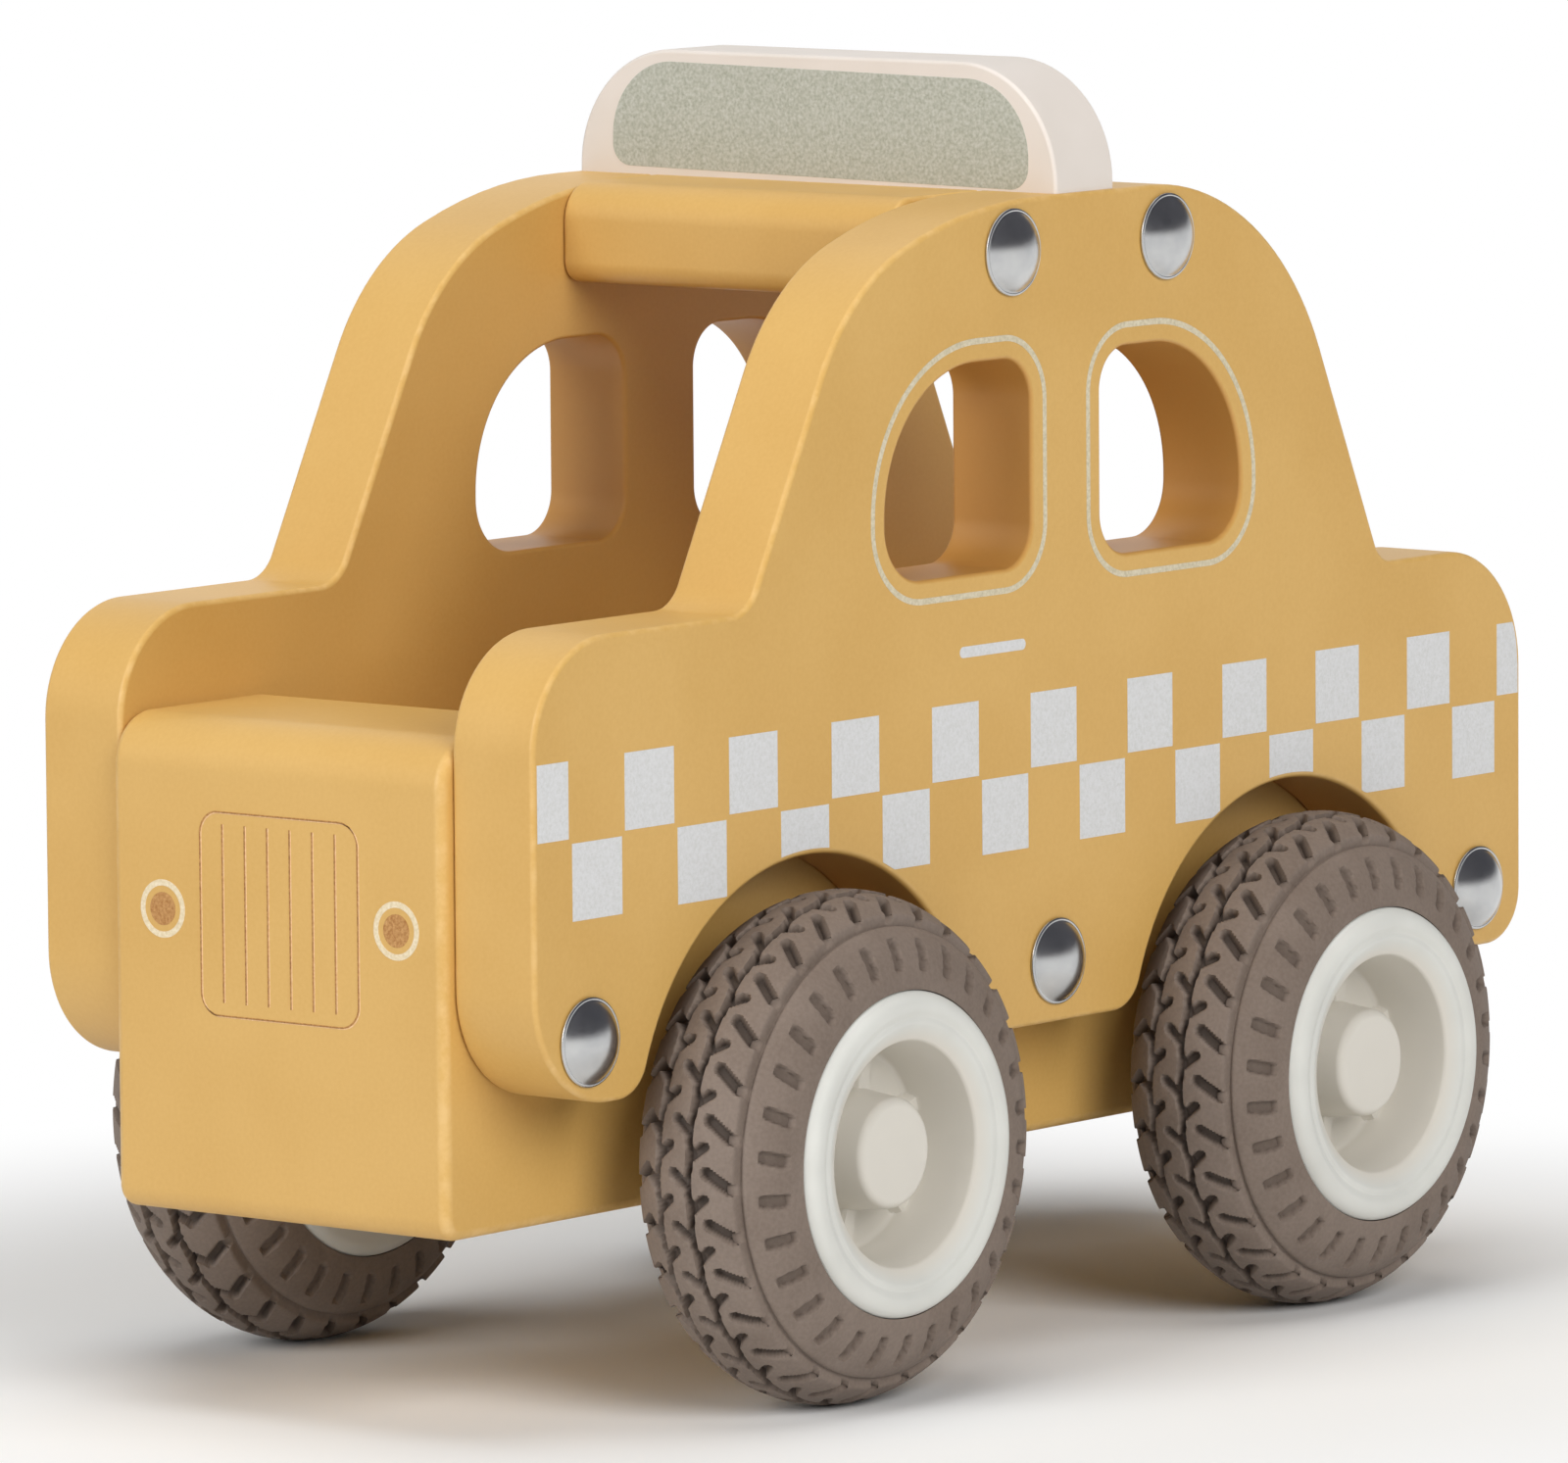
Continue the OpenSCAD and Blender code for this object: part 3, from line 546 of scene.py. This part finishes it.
SIGN_THICK = 8.5
SIGN_FRONT, SIGN_BACK = PLANK_X + SIGN_THICK / 2, PLANK_X - SIGN_THICK / 2


def sign_shell():
    """The sign, set a little into the roof, so that its lower edge meets the plank without a gap."""
    half, tall, sunk, upper_r, foot_r, edge = 27.3, 11.4, 0.6, 10.8, 0.4, 0.35
    outline = plate_outline(half, ROOF_Z - sunk, ROOF_Z + tall, upper_r, foot_r)
    return board([outline], SIGN_BACK, SIGN_FRONT, [edge], ON_NOSE)


def sign_field():
    """The printed field. It sits a little to one side and askew, as pad printing often does."""
    aside, middle_z, askew = 0.45, 108.6, math.radians(-0.7)
    half, low, top, upper_r, low_r = 23.8, 103.65, 113.3, 6.9, 2.0
    return [(aside + y * math.cos(askew) - (z - middle_z) * math.sin(askew),
             middle_z + y * math.sin(askew) + (z - middle_z) * math.cos(askew))
            for y, z in plate_outline(half, low, top, upper_r, low_r)]


put_on_body("sign_board", [sign_shell()], CREAM, "roof_sign")
put_on_body("sign_print", [printed([sign_field()], SIGN_FRONT, ON_NOSE),
                           printed([sign_field()], -SIGN_BACK, ON_BACK)], SAGE_INK)

# Printing on the panels: checker band, window lines and door handles

CHECK, CHECK_STEP, CHECK_FRONT, CHECK_TOP, CHECK_COLUMNS = 6.68, 7.1, 73.915, 59.2, 11


def check_outline(front, rear, low, top):
    """A checker square, cut where the rear corner of the panel or a wheel arch crosses it."""
    parts = 16
    steps = [front + (rear - front) * i / parts for i in range(parts + 1)]

    def under(x):
        for wheel in WHEEL_XS:
            if abs(x - wheel) < ARCH_R + PANEL_EDGE:
                return max(low, ARCH_Z + math.sqrt((ARCH_R + PANEL_EDGE) ** 2 - (x - wheel) ** 2))
        return low

    def over(x):
        centre, reach = BOOT_R - PANEL_LEN / 2, BOOT_R - PANEL_EDGE
        if x < centre:
            return min(top, BOOT_Z - BOOT_R + math.sqrt(max(0.0, reach**2 - (centre - x) ** 2)))
        return top

    return [(x, over(x)) for x in steps] + [(x, under(x)) for x in reversed(steps)]


def side_prints(axes):
    """The checker band and the door handle on one side panel."""
    face_end, least_len = PANEL_LEN / 2 - PANEL_EDGE, 0.5
    shells = []
    for row in (0, 1):
        for column in range(CHECK_COLUMNS):
            front = CHECK_FRONT - 2 * CHECK_STEP * column - CHECK_STEP * row
            rear = max(front - CHECK, -face_end)
            front = min(front, face_end)
            top = CHECK_TOP - CHECK_STEP * row
            if front - rear > least_len:
                shells.append(printed([check_outline(front, rear, top - CHECK, top)], PANEL_OUT, axes))
    handle_front, handle_rear, handle_z, handle_r = 12.6, 4.1, 63.65, 0.5
    handle = arc((handle_front, handle_z), handle_r, -90, 180, step=15)
    handle += arc((handle_rear, handle_z), handle_r, 90, 180, step=15)
    return shells + [printed([handle], PANEL_OUT, axes)]


def window_lines(axes):
    """A thin printed line round each window of one side panel."""
    outer, inner = 2.16, 1.6
    return [printed([window_outline(end, outer), window_outline(end, inner)], PANEL_OUT, axes)
            for end in (1, -1)]


for side, axes in SIDES:
    put_on_body(side + "_checker_print", side_prints(axes), WHITE_INK)
    put_on_body(side + "_window_lines", window_lines(axes), LINE_INK)

# Printing on the nose: grille and headlights, a little off the middle

NOSE_MID, LIGHT_Z, LIGHT_Y = 0.28, 44.25, 13.23
RING_R, RING_HOLE_R, DISC_R = 2.55, 2.0, 1.45
GRILLE_HALF, GRILLE_TALL, GRILLE_R, GRILLE_BARS = 8.91, 17.7, 2.0, 6
BAR_GAP_ABOVE, BAR_GAP_BELOW = 1.1, 1.2


def disc(y, r):
    """A round outline at the height of the headlights."""
    return arc((y, LIGHT_Z), r, 0, 354, step=6)


def grille_shells(line, shift):
    """The grille's outline and bars, as lines of the given half width moved aside by shift."""
    low, top = LIGHT_Z - GRILLE_TALL / 2, LIGHT_Z + GRILLE_TALL / 2
    outlines = [plate_outline(GRILLE_HALF + w, low - w, top + w, GRILLE_R + w, GRILLE_R + w)
                for w in (line, -line)]
    shells = [printed([[(NOSE_MID + y + shift, z - shift / 2) for y, z in loop] for loop in outlines],
                      NOSE_X, ON_NOSE)]
    for k in range(1, GRILLE_BARS + 1):
        y = NOSE_MID + GRILLE_HALF * (2 * k / (GRILLE_BARS + 1) - 1) + shift
        bar = arc((y, top - BAR_GAP_ABOVE), line, 0, 180, step=30)
        bar += arc((y, low + BAR_GAP_BELOW), line, 180, 180, step=30)
        shells.append(printed([bar], NOSE_X, ON_NOSE))
    return shells


put_on_body("grille_print", grille_shells(line=0.085, shift=0.0), BROWN_INK)
# Each brown line has a pale painted highlight along one side, where light catches the edge of a pressed line
put_on_body("grille_line_highlights", grille_shells(line=0.06, shift=0.155), PAINTED_LIP_HIGHLIGHT)
lights = (NOSE_MID + LIGHT_Y, NOSE_MID - LIGHT_Y)
rings = [printed([disc(y, RING_R), disc(y, RING_HOLE_R)], NOSE_X, ON_NOSE) for y in lights]
put_on_body("headlight_rings", rings, IVORY_INK)
discs = [printed([disc(y, DISC_R)], NOSE_X, ON_NOSE) for y in lights]
put_on_body("headlight_discs", discs, AMBER_INK)

# Domed nails, in a row along the sill and a row into the roof plank

NAIL_ROWS = (("body", (64.8, -0.705, -64.8), 34.9), ("roof", (5.303, -17.295), 98.5))


def nail_shell(x, z, axes):
    """A pressed dome with a rolled rim, and its shank in the board."""
    head_r, head_h, dome_edge, roll, roll_h = 3.9, 1.9, 3.6, 0.2, 0.16
    shank_r, shank_len, point_len = 1.2, 23.0, 1.0
    dome_r = (head_r**2 + head_h**2) / (2 * head_h)
    profile = arc((0, head_h - dome_r), dome_r, 90, -math.degrees(math.asin(dome_edge / dome_r)))
    profile += arc((head_r - roll, roll_h), roll, 115, -115, step=15)
    profile += [(head_r, 0.1), (head_r - 0.15, 0.0), (shank_r, 0.0), (shank_r, -shank_len),
                (0, -shank_len - point_len)]
    return spun(profile, axes, (x, PANEL_OUT * axes[1][2], z), around=64)


for side, axes in SIDES:
    for row, xs, z in NAIL_ROWS:
        put_on_body(side + "_" + row + "_domes", [nail_shell(x, z, axes) for x in xs], NAIL_STEEL,
                    side + "_" + row + "_nails")

# Wheels: the hub and the tyre are drawn about the wheel's middle, outer side to +Y


def eased(share):
    """A share from 0 to 1 that starts and ends softly."""
    share = np.clip(share, 0, 1)
    return share * share * (3 - 2 * share)


def hub_shell():
    """A moulded hub: plain boss, dish with low ribs, and a broad rounded ring that holds the tyre."""
    rim, web, boss, flange, inner_end = 8.8, 1.5, 6.8, 2.27, -10.85
    boss_r, dish_r, ring_r, seat_r, bore_r, bore_end = 4.8, 8.8, 14.3, 12.2, 2.03, 3.8
    outline = rounded([
        (0, boss, 0), (boss_r, boss, 0.8), (5.4, web, 0.5), (dish_r, web, 0.5), (9.9, rim - 1.0, 0.5),
        (11.45, rim - 0.2, 0.7), (11.95, rim - 0.3, 0.35), (12.6, rim, 0.9), (ring_r, rim, 1.4),
        (ring_r, rim - flange, 0), (seat_r, rim - flange, 0), (seat_r, flange - rim, 0),
        (ring_r, flange - rim, 0), (ring_r, -rim, 1.4), (dish_r, -rim, 0.5), (dish_r, -web, 0.5),
        (boss_r, -web, 0.5), (boss_r, inner_end, 0.5), (bore_r, inner_end, 0), (bore_r, bore_end, 0),
        (0, bore_end, 0)], step=8.0)
    # The dish is parted finely, so that the ribs can rise out of it
    fine = 0.35
    profile = [outline[0]]
    for point in outline[1:]:
        in_dish = boss_r < point[0] < 10 and point[1] > 0
        steps = max(1, math.ceil(math.dist(point, profile[-1]) / fine)) if in_dish else 1
        profile += between(profile[-1], point, steps)
    shell = spun(profile, ON_LEFT, around=240)
    x, y, z = shell.points.T
    r = np.hypot(x, z)
    rib_half, rib_slope, rib_h, rib_start, rib_pitch = 1.15, 0.5, 1.0, 40, 60
    turn = (np.degrees(np.arctan2(z, x)) - rib_start + rib_pitch / 2) % rib_pitch - rib_pitch / 2
    aside = np.abs(r * np.sin(np.radians(turn)))
    rib = web + rib_h * eased((rib_half - aside) / rib_slope)
    rib_in, rib_out = 4.9, 9.5
    ribbed = (y > web - 0.01) & (r > rib_in) & (r < rib_out)
    shell.points[:, 1] = np.where(ribbed, np.maximum(y, rib), y)
    # The marks put a painted shade tint inside the ring
    shade_tint_share, shade_tint_r = 0.7, 11.2
    return shell._replace(marks=list(shade_tint_share * np.clip(shade_tint_r - r, 0, 1)))


PITCHES, TYRE_R = 30, 22.5
PITCH = 2 * math.pi * TYRE_R / PITCHES
# How far a cut's wall slopes from its edge to its floor
CUT_SLOPE = 0.16


def cut_depth(y, t, start, end, width, depth):
    """The depth of one round-ended tread cut from start to end, each (y, t), repeated every pitch."""
    (y0, t0), (y1, t1) = start, end
    deep = np.zeros_like(y + t)
    for k in (-1, 0, 1):
        dy, dt, along = y1 - y0, t1 - t0, t - t0 - k * PITCH
        share = np.clip(((y - y0) * dy + along * dt) / (dy * dy + dt * dt), 0, 1)
        gap = np.hypot(y - y0 - share * dy, along - share * dt) - width / 2
        deep = np.maximum(deep, 0.5 - gap / CUT_SLOPE)
    return depth * eased(deep)


def tread_depth(y, t):
    """How deep the tread is cut at y across the tyre and t along its crown: two bent grooves, each with
    notches on both sides, and a slanted slot in each shoulder block."""
    groove_w, groove_deep, notch_w, slot_w, cut_deep = 0.56, 1.1, 0.8, 0.92, 0.95
    cuts = []
    for groove in (1.62, -1.68):
        left, right = (groove - 0.15, -1.25), (groove + 0.15, 1.34)
        cuts += [(left, right, groove_w, groove_deep),
                 (right, (left[0], left[1] + PITCH), groove_w, groove_deep),
                 ((groove - 1.5, -0.1), left, notch_w, cut_deep),
                 (right, (groove + 1.3, 2.3), notch_w, cut_deep)]
    cuts += [((s * 3.2, 0.0), (s * 5.05, -1.62), slot_w, cut_deep) for s in (1, -1)]
    return np.maximum.reduce([cut_depth(y, t, *c) for c in cuts])


def side_slot_depth(along, t, r):
    """How deep a sidewall is cut at a distance along it from its foot: one short slot to each pitch."""
    middle, half_len, half_w, slot_r, deep = 2.95, 1.1, 0.14, 0.42, 0.6
    far = np.maximum(np.abs(along - middle) - half_len, 0)
    lean = 1.39 - 0.17 * (along - middle)
    near = np.abs((t - lean + PITCH / 2) % PITCH - PITCH / 2) * r / TYRE_R
    gap = np.hypot(far, np.maximum(near - half_w, 0)) - slot_r
    return deep * eased(0.5 - gap / CUT_SLOPE)


def tyre_shell():
    """A tyre's closed skin: round crown with its tread cuts, stepped shoulders, slotted sidewalls."""
    columns, crown_points, fade_points, wall_points = 24, 44, 5, 24
    crown_r, edge, valley, foot, half_w = 8.066, (20.6, 5.2), (19.35, 5.08), (19.75, 5.5), 7.9
    seat_r, bore_r, bead_y, bead_in = 14.33, 12.23, 6.5, 2.2
    swell = (foot[0] - seat_r, half_w - foot[1])
    side_r = (swell[0] ** 2 + swell[1] ** 2) / (2 * swell[1])
    side_y = half_w - side_r
    foot_turn = math.atan2(foot[1] - side_y, foot[0] - seat_r)
    half = [(TYRE_R - crown_r + crown_r * math.cos(a), crown_r * math.sin(a))
            for a in np.linspace(0, math.asin(edge[1] / crown_r), crown_points)]
    half += between(edge, valley, 8)[:-1] + between(valley, foot, 4)[:-1]
    wall = len(half)
    half += [(seat_r + side_r * math.cos(a), side_y + side_r * math.sin(a))
             for a in np.linspace(foot_turn, math.pi / 2, wall_points)]
    skin = np.array([(r, -y) for r, y in half[:0:-1]] + half)
    for _ in range(2):
        skin[1:-1] = (skin[:-2] + 2 * skin[1:-1] + skin[2:]) / 4
    run = np.gradient(skin, axis=0)
    run /= np.linalg.norm(run, axis=1)[:, None]
    bead = [(seat_r, 7.2), (seat_r, bead_y), (13.3, bead_y), (bore_r, bead_y), (bore_r, bead_in)]
    section = np.concatenate([skin, bead, [(r, -y) for r, y in bead[::-1]]])
    normal = np.concatenate([np.c_[run[:, 1], -run[:, 0]], np.zeros((2 * len(bead), 2))])
    r, y = section[:, :1], section[:, 1:]
    order = np.arange(len(section))[:, None]
    place = np.abs(order - len(skin) // 2)
    count = columns * PITCHES
    t = ((np.arange(count) / columns + 0.5) % 1.0 - 0.5)[None, :] * PITCH
    # The crown's cuts fade out just over its edge, and the sidewall's lie beyond the foot
    fade = np.clip((crown_points + fade_points - 1 - place) / fade_points, 0, 1)
    crown_deep = fade * tread_depth(np.clip(y, -edge[1], edge[1]), t)
    along = (place - wall) * side_r * (math.pi / 2 - foot_turn) / (wall_points - 1)
    on_wall = (place > wall) & (order < len(skin))
    deep = np.where(on_wall, side_slot_depth(along, t, r), crown_deep)
    # The tread stands as the photograph shows it, with a slot's inner end a little above the front
    tread_start = np.radians(1.4)
    turns = tread_start + (np.arange(count) * 2 * math.pi / count)[None, :]
    out, across = r - normal[:, :1] * deep, y - normal[:, 1:] * deep
    points = np.stack([out * np.cos(turns), across + 0 * turns, out * np.sin(turns)], -1).reshape(-1, 3)
    marks = np.broadcast_to(deep, (len(section), count)).reshape(-1)
    return Shell(points, None, marks, ring_faces(len(section), count, closed=True))


hub_mesh = mesh_of("wheel_hub", [hub_shell()], HUB_ABS)
tyre_mesh = mesh_of("wheel_tyre", [tyre_shell()], TYRE_RUBBER, smooth_angle=60.0)
for end, x in zip(("front", "rear"), WHEEL_XS):
    for side, s in (("left", 1), ("right", -1)):
        for what, mesh, slot in (("hub", hub_mesh, "hub_plastic"), ("tyre", tyre_mesh, "tyre_rubber")):
            node = end + "_" + side + "_" + what
            put(node + "_moulding", mesh, end + "_wheels", node, (x, s * WHEEL_Y, WHEEL_Z), 90 - 90 * s)

# Axles and dowels are the CAD solids with their own finishes

for name, material in (("front_axle", AXLE_STEEL), ("rear_axle", AXLE_STEEL), ("sign_dowels", BEECH)):
    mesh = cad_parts[name].data
    mesh.materials.clear()
    mesh.materials.append(material)

# Floor, light and camera, in metres


def seen_by(tree, kinds):
    """1 for a ray of one of the kinds, 0 for any other."""
    path = add(tree, "ShaderNodeLightPath")
    seen = path.outputs[kinds[0]]
    for kind in kinds[1:]:
        seen = add(tree, "ShaderNodeMath", {0: seen, 1: path.outputs[kind]}, operation="MAXIMUM").outputs[0]
    return seen


def studio_object(name, points, faces, material):
    """A surface of the studio round the taxi."""
    mesh = bpy.data.meshes.new(name)
    mesh.from_pydata(points, [], faces)
    mesh.materials.append(material)
    thing = bpy.data.objects.new(name, mesh)
    bpy.context.collection.objects.link(thing)
    return thing


def pale_floor():
    """A plain pale floor that keeps the shadow and fades to the white background."""
    radii, around, fade_start, fade_end = (0.35, 0.8, 2.0), 72, 0.062, 0.15
    turns = [math.radians(i * 360 / around) for i in range(around)]
    points = [(0.0, 0.0, 0.0)] + [(r * math.cos(a), r * math.sin(a), 0.0) for r in radii for a in turns]
    faces = [(0, 1 + i, 1 + (i + 1) % around) for i in range(around)]
    faces += [tuple(1 + i for i in reversed(face)) for face in ring_faces(len(radii), around)]
    material, tree, shader, place = finish("matt_white_studio_floor")
    tree.nodes.remove(shader)
    away = add(tree, "ShaderNodeVectorMath", {0: place}, operation="LENGTH").outputs["Value"]
    fade = ranged(tree, away, (fade_start, fade_end), interpolation_type="SMOOTHSTEP")
    seen = seen_by(tree, ("Is Camera Ray", "Is Glossy Ray"))
    share = add(tree, "ShaderNodeMath", {0: fade, 1: seen}, operation="MULTIPLY").outputs[0]
    matt = add(tree, "ShaderNodeBsdfDiffuse", {"Color": linear("#f6f6f5")}).outputs[0]
    white = add(tree, "ShaderNodeEmission", {"Color": (1, 1, 1, 1), "Strength": 1.0}).outputs[0]
    mixed = add(tree, "ShaderNodeMixShader", {"Fac": share, 1: matt, 2: white}).outputs[0]
    tree.links.new(mixed, tree.nodes["Material Output"].inputs["Surface"])
    floor = studio_object("floor", points, faces, material)


def dark_reflection_canopy():
    """A painted reflection: a dark sheet for the unlit half of the studio beyond the car's left side, which
    only glossy surfaces mirror.
    """
    r, thin_z, whole_z = 2.8, 0.1, 0.6
    turns = [math.radians(a) for a in range(45, 196, 5)]
    rises = [math.radians(e) for e in range(3, 73, 5)]
    points = [(r * math.cos(a) * math.cos(e), r * math.sin(a) * math.cos(e), r * math.sin(e))
              for a in turns for e in rises]
    n = len(rises)
    faces = [(i * n + k, (i + 1) * n + k, (i + 1) * n + k + 1, i * n + k + 1)
             for i in range(len(turns) - 1) for k in range(n - 1)]
    material, tree, shader, place = finish("painted_dark_reflection", Roughness=1.0)
    # Painted reflection: the grey that the nails and paint mirror where the studio is unlit
    shader.inputs["Base Color"].default_value = linear("#7c7c84")
    # The painted dark reflection thins out towards the floor, so that a nail's dark half ends softly
    height = add(tree, "ShaderNodeSeparateXYZ", {0: place}).outputs["Z"]
    cover = ranged(tree, height, (thin_z, whole_z))
    clear = add(tree, "ShaderNodeBsdfTransparent").outputs[0]
    mixed = add(tree, "ShaderNodeMixShader", {"Fac": cover, 1: clear, 2: shader.outputs[0]}).outputs[0]
    tree.links.new(mixed, tree.nodes["Material Output"].inputs["Surface"])
    canopy = studio_object("dark_reflection_canopy", points, faces, material)
    canopy.visible_camera = canopy.visible_diffuse = canopy.visible_shadow = False


def soft_lamp(name, place, size, power, mirrored=True):
    """A large soft lamp that shines at the taxi's middle. Glossy surfaces may mirror it or not."""
    data = bpy.data.lights.new(name, "AREA")
    data.shape, data.size, data.energy = "DISK", size, power
    lamp = bpy.data.objects.new(name, data)
    middle = Vector((0, 0, 0.05))
    lamp.location = place
    lamp.rotation_euler = (Vector(place) - middle).to_track_quat("Z", "Y").to_euler()
    lamp.visible_camera = False
    lamp.visible_glossy = mirrored
    bpy.context.collection.objects.link(lamp)


def studio_world(level):
    """Soft light from all round, which the eye and the bright metal see as plain white."""
    world = bpy.data.worlds.new("white_studio")
    world.use_nodes = True
    bpy.context.scene.world = world
    tree = world.node_tree
    clear = seen_by(tree, ("Is Camera Ray", "Is Glossy Ray", "Is Transmission Ray"))
    background = tree.nodes["Background"]
    tree.links.new(ranged(tree, clear, after=(level, 1.0)), background.inputs["Strength"])
    background.inputs["Color"].default_value = (1, 1, 1, 1)


def photo_camera():
    """The camera at the photograph's viewing angle, with a long lens about 1.17 m away."""
    place = Vector((908.49, 724.667, 185.066)) * MM
    azimuth, elevation, roll = (math.radians(a) for a in (128.678, 6.449, -0.425))
    right = Vector((math.cos(azimuth), math.sin(azimuth), 0))
    back = Vector((math.sin(azimuth) * math.cos(elevation), -math.cos(azimuth) * math.cos(elevation),
                   math.sin(elevation)))
    up = back.cross(right)
    across = math.cos(roll) * right + math.sin(roll) * up
    upward = math.cos(roll) * up - math.sin(roll) * right
    data = bpy.data.cameras.new("photo_camera")
    data.sensor_width, data.lens = 36.0, 297.818
    data.clip_start, data.clip_end = 0.01, 20.0
    camera = bpy.data.objects.new("photo_camera", data)
    turn = Matrix((across, upward, back)).transposed().to_4x4()
    camera.matrix_world = Matrix.Translation(place) @ turn
    bpy.context.collection.objects.link(camera)
    bpy.context.scene.camera = camera


pale_floor()
dark_reflection_canopy()
soft_lamp("key_lamp", (1.85, -0.25, 0.85), size=1.2, power=19.6)
soft_lamp("side_lamp", (0.6, 1.75, 1.0), size=1.4, power=28.0, mirrored=False)
soft_lamp("top_lamp", (0.1, 0.0, 2.0), size=1.4, power=14.0, mirrored=False)
soft_lamp("back_lamp", (-1.5, -1.4, 1.1), size=1.4, power=6.0, mirrored=False)
studio_world(level=0.08)
photo_camera()
bpy.context.scene.view_settings.view_transform = "Standard"
